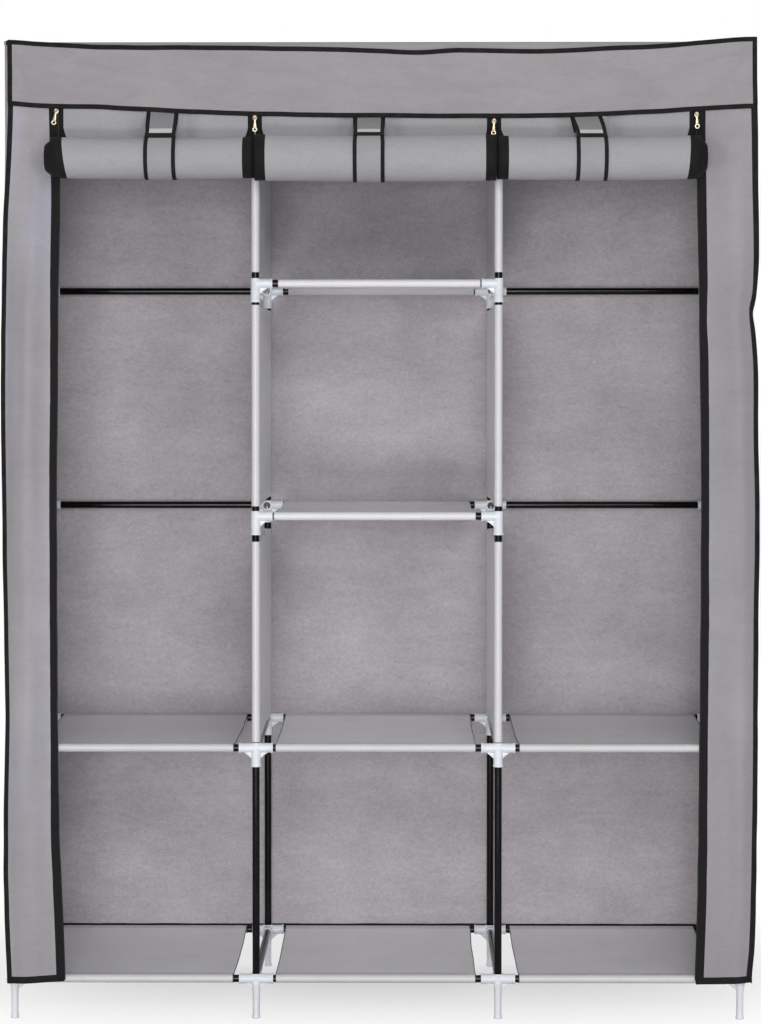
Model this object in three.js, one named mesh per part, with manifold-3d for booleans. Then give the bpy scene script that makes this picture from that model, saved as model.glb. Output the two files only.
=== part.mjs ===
// Portable fabric wardrobe: steel tubes pushed into moulded connectors, with sleeved cloth
// shelves and dividers, under a zipped cloth cover whose three doors are rolled up.
// Millimetres, +Z up, the front faces -Y. The origin is on the floor under the middle.
import * as THREE from "three";
import { mergeVertices } from "three/addons/utils/BufferGeometryUtils.js";
import Module from "manifold-3d";

const wasm = await Module();
wasm.setup();

// Layout of the frame, between the axes of its tubes
const BAY_WIDTH = 425;
const FRAME_DEPTH = 430;
const LEVEL_PITCH = 407;
const LEG_HEIGHT = 70;
const COLUMN_COUNT = 4;
const LEVEL_COUNT = 5;

// Steel tube, and the clearance of whatever slides over it or takes it in
const TUBE_DIAMETER = 13;
const TUBE_WALL = 0.6;
const FIT = 0.3;

// Moulded connector: its arms' walls, reaches, the flare to their mouths and their webs
const SOCKET_WALL = 1.5;
const SOCKET_FLOOR = 2.5;
const ARM_REACH = 30;
const DROP_REACH = 33;
const MOUTH_FLARE = 0.9;
const WEB_THICKNESS = 3;
const WEB_RUN = 13;
const WEB_DROP = 10.5;
const UPRIGHT_SEAT = 12;
const CAP_THICKNESS = 3.3;

// Leg under a lowest connector
const LEG_WAIST_DIAMETER = 12.4;
const LEG_PAD_DIAMETER = 14.6;
const LEG_PAD_HEIGHT = 4;
const LEG_PAD_TAPER = 4;
const LEG_SHOULDER_DROP = 22;

// Snap clip at each end of a hanging rail
const CLIP_WALL = 2;
const CLIP_WIDTH = 18;
const CLIP_ARM_REACH = 26;
const CLIP_MOUTH = 10.5;

// Sleeved cloth panels: shelves between bars and dividers between uprights
const PANEL_CLOTH = 0.8;
const SHELF_BARE_END = 6;
const SHELF_SAG = 6;
const DIVIDER_SAG = 2.5;
const DIVIDER_BARE_ENDS = 12.8;
const DIVIDER_LOW_GAPS = [1.2, 8.2, 10.2];

// Cover cloth and how far it stands off the frame
const COVER_CLOTH = 0.8;
const FRONT_STANDOFF = 3;
const REAR_STANDOFF = 1;
const SIDE_STANDOFF = 4;
const SEAM_GAP = 0.3;
const FRONT_HEM_HEIGHT = 66;
const REAR_HEM_HEIGHT = 72;
const LEFT_BULGE = 4;
const RIGHT_BULGE = 12;
const SIDE_FOLD_DEPTH = 4;
const REAR_FOLD_DEPTH = 5;
const FLAP_FOLD_DEPTH = 2;
const TOP_SAG = 1.5;
const FRONT_EDGE_FALL = 6;
const LEFT_PEAK = 7;
const RIGHT_PEAK = 13;
const PEAK_SPREAD = 110;
const PELMET_FOLD_DEPTH = 2;
const PELMET_DEPTH = 116;
const PELMET_HEM_RISE = 13;

// Doors: how far each zip lies beside its column, from left to right, and the doors' rolls,
// whose axes lie a drop below the pelmet's hem
const ZIP_OFFSETS = [79.5, 0.1, -8.9, -81.9];
const ROLL_DIAMETERS = [73, 83, 78];
const ROLL_DROP = 86;
const ROLL_OUTER_OVERHANG = 10;
const ROLL_LAYER = 6;
const ROLL_LAYER_GAP = 0.6;
const ROLL_CORE_RADIUS = 5;
const ROLL_TURN_STEPS = 12;
const DOOR_EDGE_GAP = 1.5;

// Straps that hold the rolls
const STRAP_THICKNESS = 1.2;
const STRAP_WIDTH = 56;
const STRAP_HEAD_GAP = 0.6;
const STRAP_ARC_STEPS = 8;
const STRAP_OFFSETS = [12.2, -9.1, -9.6];

// Zip sliders, each a drop below the pelmet's hem, and their pulls
const SLIDER_DROPS = [12.6, 16.4, 22.3, 19.5];
const SLIDER_WIDTH = 8.4;
const SLIDER_HEIGHT = 11;
const SLIDER_PLATE = 1;
const SLIDER_CORE_WIDTH = 2.4;
const SLIDER_EAR_WALL = 0.8;
const SLIDER_EAR_THICKNESS = 1.1;
const PIN_DIAMETER = 1.6;
const PULL_EYE_DIAMETER = 4.2;
const PULL_THICKNESS = 1.4;
const PULL_LENGTH = 22;
const PULL_TIP_WIDTH = 6;

// How the round and soft shapes are faceted, and one overrun for every cut
const ROUND_SIDES = 8;
const COVER_COLUMNS = 12;
const COVER_ROWS = 5;
const OVERRUN = 2;
const MERGE_DISTANCE = 0.001;

// Sizes that follow
const TUBE_RADIUS = TUBE_DIAMETER / 2;
const BORE_RADIUS = TUBE_RADIUS + FIT;
const SOCKET_RADIUS = BORE_RADIUS + SOCKET_WALL;
const MOUTH_RADIUS = SOCKET_RADIUS + MOUTH_FLARE;
const SLEEVE_RADIUS = BORE_RADIUS + PANEL_CLOTH;
const BAR_END_INSET = TUBE_RADIUS + SOCKET_FLOOR;
const HALF_DEPTH = FRAME_DEPTH / 2;
const ZERO = new THREE.Vector3();
const X = new THREE.Vector3(1, 0, 0);
const Y = new THREE.Vector3(0, 1, 0);
const Z = new THREE.Vector3(0, 0, 1);
const columnX = (column) => (column - (COLUMN_COUNT - 1) / 2) * BAY_WIDTH;
const levelZ = (level) => LEG_HEIGHT + (level - 1) * LEVEL_PITCH;
const TOP_LEVEL_Z = levelZ(LEVEL_COUNT);
const SHELF_LENGTH = BAY_WIDTH - 2 * (ARM_REACH + SHELF_BARE_END);
const DIVIDER_LENGTH = LEVEL_PITCH - DROP_REACH - MOUTH_RADIUS - DIVIDER_BARE_ENDS;

// Planes of the cover, each the face nearest the frame
const FRONT_PLANE = -(HALF_DEPTH + MOUTH_RADIUS + FRONT_STANDOFF);
const REAR_PLANE = HALF_DEPTH + MOUTH_RADIUS + REAR_STANDOFF;
const SIDE_PLANE = columnX(COLUMN_COUNT - 1) + MOUTH_RADIUS + SIDE_STANDOFF;
const TOP_PLANE = TOP_LEVEL_Z + MOUTH_RADIUS + FIT + TOP_SAG;
const DOOR_FRONT = FRONT_PLANE - COVER_CLOTH;
const PELMET_PLANE = DOOR_FRONT - STRAP_THICKNESS - 2 * FIT;

// Where the four zips run, and where the straps' middles lie
const ZIP_PLACES = ZIP_OFFSETS.map((offset, column) => columnX(column) + offset);
const STRAP_PLACES = STRAP_OFFSETS.map(
  (offset, door) => (ZIP_PLACES[door] + ZIP_PLACES[door + 1]) / 2 + offset,
);

// Colours of the finished surfaces
const surface = (color, roughness, metalness = 0) =>
  new THREE.MeshStandardMaterial({ color, roughness, metalness });
const blackTube = () => surface(0x17171a, 0.35, 0.5);
const coverCloth = () => surface(0x9c9a9f, 0.9);
const panelCloth = () => surface(0xb9babd, 0.8);
const strapCloth = () => surface(0x8d8c91, 0.9);
const zipMetal = () => surface(0xc2a96a, 0.3, 0.9);

// A three.js geometry as a solid that can be joined and cut, and back
function solidOf(geometry) {
  const bare = geometry.index ? geometry.toNonIndexed() : geometry.clone();
  bare.deleteAttribute("normal");
  bare.deleteAttribute("uv");
  const merged = mergeVertices(bare);
  return new wasm.Manifold(
    new wasm.Mesh({
      numProp: 3,
      vertProperties: merged.attributes.position.array,
      triVerts: new Uint32Array(merged.index.array),
    }),
  );
}

function geometryOf(solid) {
  const mesh = solid.asOriginal().simplify(MERGE_DISTANCE).getMesh();
  const indexed = new THREE.BufferGeometry();
  indexed.setAttribute("position", new THREE.BufferAttribute(mesh.vertProperties, 3));
  indexed.setIndex(new THREE.BufferAttribute(mesh.triVerts, 1));
  const geometry = indexed.toNonIndexed();
  geometry.computeVertexNormals();
  return geometry;
}

const between = (from, to, share) => from + (to - from) * share;
const joined = (solids) => solids.reduce((whole, solid) => whole.add(solid));
const cutBy = (solid, cuts) => cuts.reduce((rest, cut) => rest.subtract(cut), solid);

// Turns a shape built along +Z to run along a direction, and moves it to its start
function aimed(geometry, direction, start = ZERO) {
  const side = direction.z === 0 ? Z : X;
  const turn = new THREE.Matrix4().makeBasis(side, direction.clone().cross(side), direction);
  return geometry.applyMatrix4(turn).translate(start.x, start.y, start.z);
}

// Corners of a faceted circle whose flats lie at its radius
function roundPoints(radius, sides = ROUND_SIDES) {
  const corner = radius / Math.cos(Math.PI / sides);
  return Array.from({ length: sides }, (_, i) => {
    const angle = ((i + 0.5) * 2 * Math.PI) / sides;
    return new THREE.Vector2(corner * Math.cos(angle), corner * Math.sin(angle));
  });
}

const extruded = (shape, depth) =>
  new THREE.ExtrudeGeometry(shape, { depth, bevelEnabled: false, curveSegments: ROUND_SIDES / 2 });

function ringShape(outer, inner) {
  const shape = new THREE.Shape(roundPoints(outer));
  shape.holes.push(new THREE.Path(roundPoints(inner)));
  return shape;
}

// A faceted rod from its start along a direction, tapered where its far end has its own radius
function rod(radius, length, direction, start, farRadius = radius) {
  const flats = 1 / Math.cos(Math.PI / ROUND_SIDES);
  const turn = Math.PI / ROUND_SIDES;
  const round = new THREE.CylinderGeometry(
    farRadius * flats,
    radius * flats,
    length,
    ROUND_SIDES,
    1,
    false,
    turn,
  );
  round.rotateX(Math.PI / 2).translate(0, 0, length / 2);
  return solidOf(aimed(round, direction, start));
}

const steelTube = (length, direction, start) =>
  aimed(extruded(ringShape(TUBE_RADIUS, TUBE_RADIUS - TUBE_WALL), length), direction, start);

// One arm of a connector, flared to its mouth, with the web under it
function armSolids(centre, direction) {
  const solids = [rod(SOCKET_RADIUS, ARM_REACH, direction, centre, MOUTH_RADIUS)];
  const web = new THREE.Shape();
  web.moveTo(0, 0);
  web.lineTo(SOCKET_RADIUS + WEB_RUN, 0);
  web.lineTo(SOCKET_RADIUS + WEB_RUN, -SOCKET_RADIUS);
  web.lineTo(SOCKET_RADIUS, -SOCKET_RADIUS - WEB_DROP);
  web.lineTo(0, -SOCKET_RADIUS - WEB_DROP);
  const plate = extruded(web, WEB_THICKNESS).translate(0, 0, -WEB_THICKNESS / 2);
  const across = direction.clone().cross(Z);
  plate.applyMatrix4(new THREE.Matrix4().makeBasis(direction, Z, across));
  solids.push(solidOf(plate.translate(centre.x, centre.y, centre.z)));
  return solids;
}

const socketCut = (centre, direction) =>
  rod(
    BORE_RADIUS,
    ARM_REACH - BAR_END_INSET + OVERRUN,
    direction,
    centre.clone().addScaledVector(direction, BAR_END_INSET),
  );

// The upright barrel of a connector, from its flush top down to its flared lower mouth
function barrelSolid(centre) {
  const bottom = centre.clone().addScaledVector(Z, -DROP_REACH);
  return rod(MOUTH_RADIUS, DROP_REACH + MOUTH_RADIUS, Z, bottom, SOCKET_RADIUS);
}

// A leg: a revolved profile that narrows from the barrel to a waist and ends in a round pad
function legSolid(centre) {
  const flats = 1 / Math.cos(Math.PI / ROUND_SIDES);
  const waist = LEG_WAIST_DIAMETER / 2;
  const pad = LEG_PAD_DIAMETER / 2;
  const shoulder = LEG_HEIGHT - LEG_SHOULDER_DROP;
  const ankle = LEG_PAD_HEIGHT + LEG_PAD_TAPER;
  const flare = new THREE.SplineCurve([
    new THREE.Vector2(waist, ankle),
    new THREE.Vector2(waist, (ankle + shoulder) / 2),
    new THREE.Vector2((waist + SOCKET_RADIUS) / 2, shoulder),
    new THREE.Vector2(SOCKET_RADIUS, LEG_HEIGHT - SOCKET_RADIUS),
  ]);
  const profile = [
    new THREE.Vector2(0, 0),
    new THREE.Vector2(pad, 0),
    new THREE.Vector2(pad, LEG_PAD_HEIGHT),
    ...flare.getPoints(3),
    new THREE.Vector2(SOCKET_RADIUS, LEG_HEIGHT + MOUTH_RADIUS),
    new THREE.Vector2(0, LEG_HEIGHT + MOUTH_RADIUS),
  ].map((point) => new THREE.Vector2(point.x * flats, point.y));
  const lathe = new THREE.LatheGeometry(profile, ROUND_SIDES, Math.PI / ROUND_SIDES);
  return solidOf(lathe.rotateX(Math.PI / 2).translate(centre.x, centre.y, 0));
}

const inward = (y) => (y < 0 ? Y : Y.clone().negate());
const hasLeft = (column) => column > 0;
const hasRight = (column) => column < COLUMN_COUNT - 1;
const LEFT = X.clone().negate();

// A closed rectangle of connectors, bars and depth tubes: the lowest and the highest level
function levelRing(level, endSolids, endCut) {
  const solids = [];
  const cuts = [];
  const z = levelZ(level);
  const width = BAY_WIDTH * (COLUMN_COUNT - 1);
  for (const y of [-HALF_DEPTH, HALF_DEPTH]) {
    solids.push(rod(TUBE_RADIUS, width, X, new THREE.Vector3(columnX(0), y, z)));
    for (let column = 0; column < COLUMN_COUNT; column += 1) {
      const centre = new THREE.Vector3(columnX(column), y, z);
      solids.push(...endSolids(centre), ...armSolids(centre, inward(y)));
      if (hasLeft(column)) solids.push(...armSolids(centre, LEFT));
      if (hasRight(column)) solids.push(...armSolids(centre, X));
      cuts.push(endCut(centre));
    }
  }
  for (let column = 0; column < COLUMN_COUNT; column += 1)
    solids.push(rod(TUBE_RADIUS, FRAME_DEPTH, Y, new THREE.Vector3(columnX(column), -HALF_DEPTH, z)));
  return geometryOf(cutBy(joined(solids), cuts));
}

const baseFrame = () =>
  levelRing(
    1,
    (centre) => [legSolid(centre)],
    (centre) =>
      rod(
        BORE_RADIUS,
        UPRIGHT_SEAT + FIT + MOUTH_RADIUS + OVERRUN,
        Z,
        centre.clone().addScaledVector(Z, -UPRIGHT_SEAT - FIT),
      ),
  );

const topFrame = () =>
  levelRing(
    LEVEL_COUNT,
    (centre) => [barrelSolid(centre)],
    (centre) =>
      rod(
        BORE_RADIUS,
        DROP_REACH + MOUTH_RADIUS - CAP_THICKNESS + OVERRUN,
        Z,
        centre.clone().addScaledVector(Z, -DROP_REACH - OVERRUN),
      ),
  );

// Which sockets a connector of a middle level has: for a bar to each side, and in depth
function socketsAt(column, level, front) {
  const outer = !hasLeft(column) || !hasRight(column);
  const toCentre = column < COLUMN_COUNT / 2 ? X : LEFT;
  const toSide = column < COLUMN_COUNT / 2 ? LEFT : X;
  const bars = [];
  if (!(outer && front && level > 2)) bars.push(toCentre);
  if (!outer && (!front || level === 2)) bars.push(toSide);
  return { bars, rung: outer || level === 2 };
}

// A ladder: the front and rear uprights of one column with their middle connectors and rungs
function ladder(column) {
  const solids = [];
  const cuts = [];
  const x = columnX(column);
  const low = levelZ(1) - UPRIGHT_SEAT;
  const high = TOP_LEVEL_Z + MOUTH_RADIUS - CAP_THICKNESS - FIT;
  for (const y of [-HALF_DEPTH, HALF_DEPTH]) {
    const foot = new THREE.Vector3(x, y, low);
    solids.push(rod(TUBE_RADIUS, high - low, Z, foot));
    cuts.push(
      rod(TUBE_RADIUS - TUBE_WALL, high - low + 2 * OVERRUN, Z, foot.clone().setZ(low - OVERRUN)),
    );
    for (let level = 2; level < LEVEL_COUNT; level += 1) {
      const centre = new THREE.Vector3(x, y, levelZ(level));
      const { bars, rung } = socketsAt(column, level, y < 0);
      solids.push(barrelSolid(centre), ...armSolids(centre, inward(y)));
      for (const direction of bars) {
        solids.push(...armSolids(centre, direction));
        cuts.push(socketCut(centre, direction));
      }
      if (!rung) cuts.push(socketCut(centre, inward(y)));
    }
  }
  for (let level = 2; level < LEVEL_COUNT; level += 1)
    if (socketsAt(column, level, true).rung)
      solids.push(rod(TUBE_RADIUS, FRAME_DEPTH, Y, new THREE.Vector3(x, -HALF_DEPTH, levelZ(level))));
  return geometryOf(cutBy(joined(solids), cuts));
}

// A bar between two neighbouring columns, held by its ends in their sockets
function bar(bay, level, y) {
  const inset = BAR_END_INSET + FIT;
  const start = new THREE.Vector3(columnX(bay) + inset, y, levelZ(level));
  return steelTube(BAY_WIDTH - 2 * inset, X, start);
}

// A hanging rail that clips down over the top depth tubes, midway between front and rear
function hangingRail(bay) {
  const left = new THREE.Vector3(columnX(bay), 0, TOP_LEVEL_Z);
  const right = new THREE.Vector3(columnX(bay + 1), 0, TOP_LEVEL_Z);
  const clipRadius = BORE_RADIUS + CLIP_WALL;
  const solids = [rod(TUBE_RADIUS, BAY_WIDTH, X, left)];
  const cuts = [rod(TUBE_RADIUS - TUBE_WALL, BAY_WIDTH, X, left)];
  for (const [centre, direction] of [
    [left, X],
    [right, LEFT],
  ]) {
    const start = centre.clone().addScaledVector(Y, -CLIP_WIDTH / 2);
    const through = start.clone().addScaledVector(Y, -OVERRUN);
    const mouth = new THREE.BoxGeometry(CLIP_MOUTH, CLIP_WIDTH + 2 * OVERRUN, clipRadius + OVERRUN);
    mouth.translate(centre.x, centre.y, centre.z - (clipRadius + OVERRUN) / 2);
    solids.push(rod(clipRadius, CLIP_WIDTH, Y, start));
    solids.push(rod(SOCKET_RADIUS, CLIP_ARM_REACH, direction, centre));
    cuts.push(rod(BORE_RADIUS, CLIP_WIDTH + 2 * OVERRUN, Y, through), solidOf(mouth));
  }
  return geometryOf(cutBy(joined(solids), cuts));
}

// A cloth panel with a sleeve along each of two parallel tubes, made along +X with its
// sleeves at the two ends of the Y span and its web level with the sleeves' tops
function sleevedPanel(length, span, sag) {
  const steps = 4;
  const start = new THREE.Vector3(-length / 2, 0, 0);
  const webPoint = (share, drop) => {
    const hang = 4 * share * (1 - share) * sag;
    return new THREE.Vector2(SLEEVE_RADIUS - drop - hang, (share - 0.5) * span);
  };
  const shares = Array.from({ length: steps + 1 }, (_, i) => i / steps);
  const web = new THREE.Shape([
    ...shares.map((share) => webPoint(share, 0)),
    ...shares.toReversed().map((share) => webPoint(share, PANEL_CLOTH)),
  ]);
  const solids = [solidOf(aimed(extruded(web, length), X, start))];
  const cuts = [];
  for (const side of [-1, 1]) {
    const sleeveStart = start.clone().setY((side * span) / 2);
    const cutStart = sleeveStart.clone().setX(start.x - OVERRUN);
    solids.push(rod(SLEEVE_RADIUS, length, X, sleeveStart));
    cuts.push(rod(BORE_RADIUS, length + 2 * OVERRUN, X, cutStart));
  }
  return geometryOf(cutBy(joined(solids), cuts));
}

function shelf(bay, level) {
  const geometry = sleevedPanel(SHELF_LENGTH, FRAME_DEPTH, SHELF_SAG);
  return geometry.translate((columnX(bay) + columnX(bay + 1)) / 2, 0, levelZ(level));
}

// A divider stands between two uprights, above one connector and below the next
function divider(column, level) {
  const geometry = sleevedPanel(DIVIDER_LENGTH, FRAME_DEPTH, DIVIDER_SAG);
  const toCentre = column < COLUMN_COUNT / 2 ? X : LEFT;
  const stand = new THREE.Matrix4().makeBasis(Y.clone().cross(toCentre), Y, toCentre);
  const low = levelZ(level) + MOUTH_RADIUS + DIVIDER_LOW_GAPS[level - 2];
  return geometry.applyMatrix4(stand).translate(columnX(column), 0, low + DIVIDER_LENGTH / 2);
}

// A sheet of cloth: a grid of places, one face on them and one a thickness further along a
// direction, closed round its edges. Both faces split their quads along the same diagonals.
function clothSheet(columns, rows, placeAt, direction, thickness = COVER_CLOTH) {
  const places = [];
  for (const layer of [0, thickness])
    for (let row = 0; row <= rows; row += 1)
      for (let column = 0; column <= columns; column += 1)
        places.push(placeAt(column / columns, row / rows).addScaledVector(direction, layer));
  const layerSize = (columns + 1) * (rows + 1);
  const at = (column, row, layer) => layer * layerSize + row * (columns + 1) + column;
  const quads = [];
  for (let row = 0; row < rows; row += 1)
    for (let column = 0; column < columns; column += 1)
      for (const layer of [0, 1]) {
        const near = at(column, row, layer);
        const beside = at(column + 1, row, layer);
        const far = at(column + 1, row + 1, layer);
        const above = at(column, row + 1, layer);
        quads.push(layer ? [near, beside, far, above] : [near, above, far, beside]);
      }
  for (let column = 0; column < columns; column += 1) {
    quads.push([at(column, 0, 0), at(column + 1, 0, 0), at(column + 1, 0, 1), at(column, 0, 1)]);
    quads.push([at(column, rows, 1), at(column + 1, rows, 1), at(column + 1, rows, 0), at(column, rows, 0)]);
  }
  for (let row = 0; row < rows; row += 1) {
    quads.push([at(0, row, 1), at(0, row + 1, 1), at(0, row + 1, 0), at(0, row, 0)]);
    quads.push([at(columns, row, 0), at(columns, row + 1, 0), at(columns, row + 1, 1), at(columns, row, 1)]);
  }
  const across = placeAt(1, 0).sub(placeAt(0, 0));
  const up = placeAt(0, 1).sub(placeAt(0, 0));
  const turned = across.cross(up).dot(direction) < 0;
  const positions = quads.flatMap(([a, b, c, d]) =>
    (turned ? [a, c, b, a, d, c] : [a, b, c, a, c, d]).flatMap((i) => places[i].toArray()),
  );
  const geometry = new THREE.BufferGeometry();
  geometry.setAttribute("position", new THREE.Float32BufferAttribute(positions, 3));
  geometry.computeVertexNormals();
  return geometry;
}

// The cover's shape: the height of its top, the run of its front corners and its hem
const CREST = FRONT_PLANE + FRONT_STANDOFF;
const PELMET_FRONT = PELMET_PLANE - COVER_CLOTH;
const squareShare = (distance, spread) => Math.max(0, 1 - distance / spread) ** 2;

function topHeight(x, y) {
  const cornerShare = squareShare(SIDE_PLANE - Math.abs(x), PEAK_SPREAD);
  const frontShare = squareShare(y - PELMET_FRONT, PEAK_SPREAD);
  const middleShare = Math.cos((Math.PI * x) / (2 * SIDE_PLANE)) * (1 - frontShare);
  const fallShare = Math.max(0, CREST - y) / (CREST - PELMET_FRONT);
  return (
    TOP_PLANE +
    (x < 0 ? LEFT_PEAK : RIGHT_PEAK) * cornerShare * frontShare -
    TOP_SAG * middleShare -
    FRONT_EDGE_FALL * fallShare * (1 - cornerShare)
  );
}

// Places across the cover's depth: its front edge, the crest over the front bars, and on
// in even steps to its rear edge
function depthStation(share, front, rear) {
  const row = share * COVER_ROWS;
  if (row <= 1) return between(front, CREST, row);
  return between(CREST, rear, (row - 1) / (COVER_ROWS - 1));
}

function cornerX(side, z) {
  const riseShare = (z - FRONT_HEM_HEIGHT) / (TOP_PLANE - FRONT_HEM_HEIGHT);
  const heightShare = Math.min(1, Math.max(0, riseShare));
  const waveShare = (1 - Math.cos(6 * Math.PI * heightShare)) / 2;
  return side * (SIDE_PLANE + (side < 0 ? LEFT_BULGE : RIGHT_BULGE) * waveShare * heightShare ** 0.5);
}

const pelmetHem = (x) => TOP_PLANE - PELMET_DEPTH + PELMET_HEM_RISE * (x / SIDE_PLANE) ** 2;
const ROLL_AXIS_Z = pelmetHem(0) - ROLL_DROP;
const sliderZ = (zip) => pelmetHem(ZIP_PLACES[zip]) - SLIDER_DROPS[zip];

function coverTop() {
  return clothSheet(
    COVER_COLUMNS,
    COVER_ROWS,
    (u, v) => {
      const x = between(-SIDE_PLANE, SIDE_PLANE, u);
      const y = depthStation(v, PELMET_FRONT, REAR_PLANE + COVER_CLOTH);
      return new THREE.Vector3(x, y, topHeight(x, y));
    },
    Z,
  );
}

function coverBack() {
  return clothSheet(
    COVER_COLUMNS,
    4,
    (u, v) => {
      const x = between(-SIDE_PLANE, SIDE_PLANE, u);
      const foldShare = Math.sin(3 * Math.PI * u) ** 2 * Math.sin(Math.PI * v);
      const y = REAR_PLANE + REAR_FOLD_DEPTH * foldShare;
      const high = topHeight(x, REAR_PLANE) - SEAM_GAP;
      return new THREE.Vector3(x, y, between(REAR_HEM_HEIGHT, high, v));
    },
    Y,
  );
}

// A side wall: its front edge bulges as the cover's corner does, and it sinks in between
// the front and rear columns
function coverSide(side) {
  const front = FRONT_PLANE + SEAM_GAP;
  const rear = REAR_PLANE - SEAM_GAP;
  return clothSheet(
    COVER_ROWS,
    9,
    (u, v) => {
      const y = depthStation(u, front, rear);
      const depthShare = (y - front) / (rear - front);
      const high = topHeight(side * SIDE_PLANE, y) - SEAM_GAP;
      const z = between(between(FRONT_HEM_HEIGHT, REAR_HEM_HEIGHT, depthShare), high, v);
      const corner = between(cornerX(side, z), side * SIDE_PLANE, depthShare);
      const foldShare = Math.sin(Math.PI * depthShare) ** 2 * Math.sin(3 * Math.PI * v) ** 2;
      return new THREE.Vector3(corner - side * SIDE_FOLD_DEPTH * foldShare, y, z);
    },
    X.clone().multiplyScalar(-side),
  );
}

// A flap beside the doors, flat along its zip and wavy along the cover's corner
function coverFlap(side) {
  const zip = side < 0 ? ZIP_PLACES[0] - DOOR_EDGE_GAP : ZIP_PLACES.at(-1) + DOOR_EDGE_GAP;
  return clothSheet(
    2,
    9,
    (u, v) => {
      const high = topHeight(between(zip, side * SIDE_PLANE, u), DOOR_FRONT) - SEAM_GAP;
      const z = between(FRONT_HEM_HEIGHT, high, v);
      const foldShare = Math.max(0, 2 * u - 1) * Math.sin(4 * Math.PI * v) ** 2 * (v < 0.75 ? 1 : 0);
      return new THREE.Vector3(
        between(zip, cornerX(side, z), u),
        FRONT_PLANE - FLAP_FOLD_DEPTH * foldShare,
        z,
      );
    },
    Y.clone().negate(),
  );
}

function coverPelmet() {
  return clothSheet(
    COVER_COLUMNS,
    2,
    (u, v) => {
      const x = between(-SIDE_PLANE, SIDE_PLANE, u);
      const high = topHeight(x, PELMET_FRONT) - SEAM_GAP;
      const foldShare = Math.sin(3 * Math.PI * u) ** 2 * (1 - v);
      return new THREE.Vector3(
        x,
        PELMET_PLANE - PELMET_FOLD_DEPTH * foldShare,
        between(pelmetHem(x), high, v),
      );
    },
    Y.clone().negate(),
  );
}

// The two ends of a door's roll, each clear of the slider that passes a neighbouring roll
function rollEnds(door) {
  const sliderEdge = SLIDER_WIDTH / 2 + FIT;
  const ends = [ZIP_PLACES[door], ZIP_PLACES[door + 1]];
  if (door === 0) return [ends[0] - ROLL_OUTER_OVERHANG, ends[1] - sliderEdge - FIT];
  if (door === 1) return [ends[0] - sliderEdge, ends[1] + sliderEdge];
  return [ends[0] + sliderEdge + FIT, ends[1] + ROLL_OUTER_OVERHANG + FIT];
}

const ROLL_PITCH = ROLL_LAYER + ROLL_LAYER_GAP;
const rollRadius = (door) => (ROLL_DIAMETERS[door] + ROLL_PITCH) / 2;
const rollY = (door) => DOOR_FRONT - FIT - rollRadius(door);

// One face of a rolled door's band, a depth inside its outer face: a spiral that starts at
// the back of the roll, where the hanging part of the door comes down, and turns under it first
function rollSpiral(door, depth) {
  const outer = rollRadius(door);
  const turns = Math.floor((outer - ROLL_CORE_RADIUS - ROLL_LAYER) / ROLL_PITCH);
  return Array.from({ length: turns * ROLL_TURN_STEPS + 1 }, (_, i) => {
    const angle = Math.PI * (1 + (2 * i) / ROLL_TURN_STEPS);
    const radius = outer - (ROLL_PITCH * i) / ROLL_TURN_STEPS - depth;
    return new THREE.Vector2(radius * Math.sin(angle), radius * Math.cos(angle));
  });
}

// The least gap between the layers of a roll, from each corner of the band's outer face to
// the nearest side of its inner face
function leastRollGap(door) {
  const inner = rollSpiral(door, ROLL_LAYER);
  const gaps = rollSpiral(door, 0).flatMap((corner) =>
    inner.slice(1).map((end, i) => {
      const side = end.clone().sub(inner[i]);
      const share = corner.clone().sub(inner[i]).dot(side) / side.lengthSq();
      const foot = inner[i].clone().addScaledVector(side, Math.min(1, Math.max(0, share)));
      return corner.distanceTo(foot);
    }),
  );
  return Math.min(...gaps);
}

// A rolled door: one band of cloth wound in a spiral
function doorRoll(door) {
  const band = new THREE.Shape([
    ...rollSpiral(door, 0),
    ...rollSpiral(door, ROLL_LAYER).toReversed(),
  ]);
  const [left, right] = rollEnds(door);
  const start = new THREE.Vector3(left, rollY(door), ROLL_AXIS_Z);
  return aimed(extruded(band, right - left), X, start);
}

// The hanging part of a door, from the cover's top seam down to the back of its roll
function doorSheet(door) {
  return clothSheet(
    3,
    2,
    (u, v) => {
      const x = between(ZIP_PLACES[door] + DOOR_EDGE_GAP, ZIP_PLACES[door + 1] - DOOR_EDGE_GAP, u);
      const high = topHeight(x, DOOR_FRONT) - SEAM_GAP;
      return new THREE.Vector3(x, FRONT_PLANE, between(ROLL_AXIS_Z, high, v));
    },
    Y.clone().negate(),
  );
}

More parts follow.
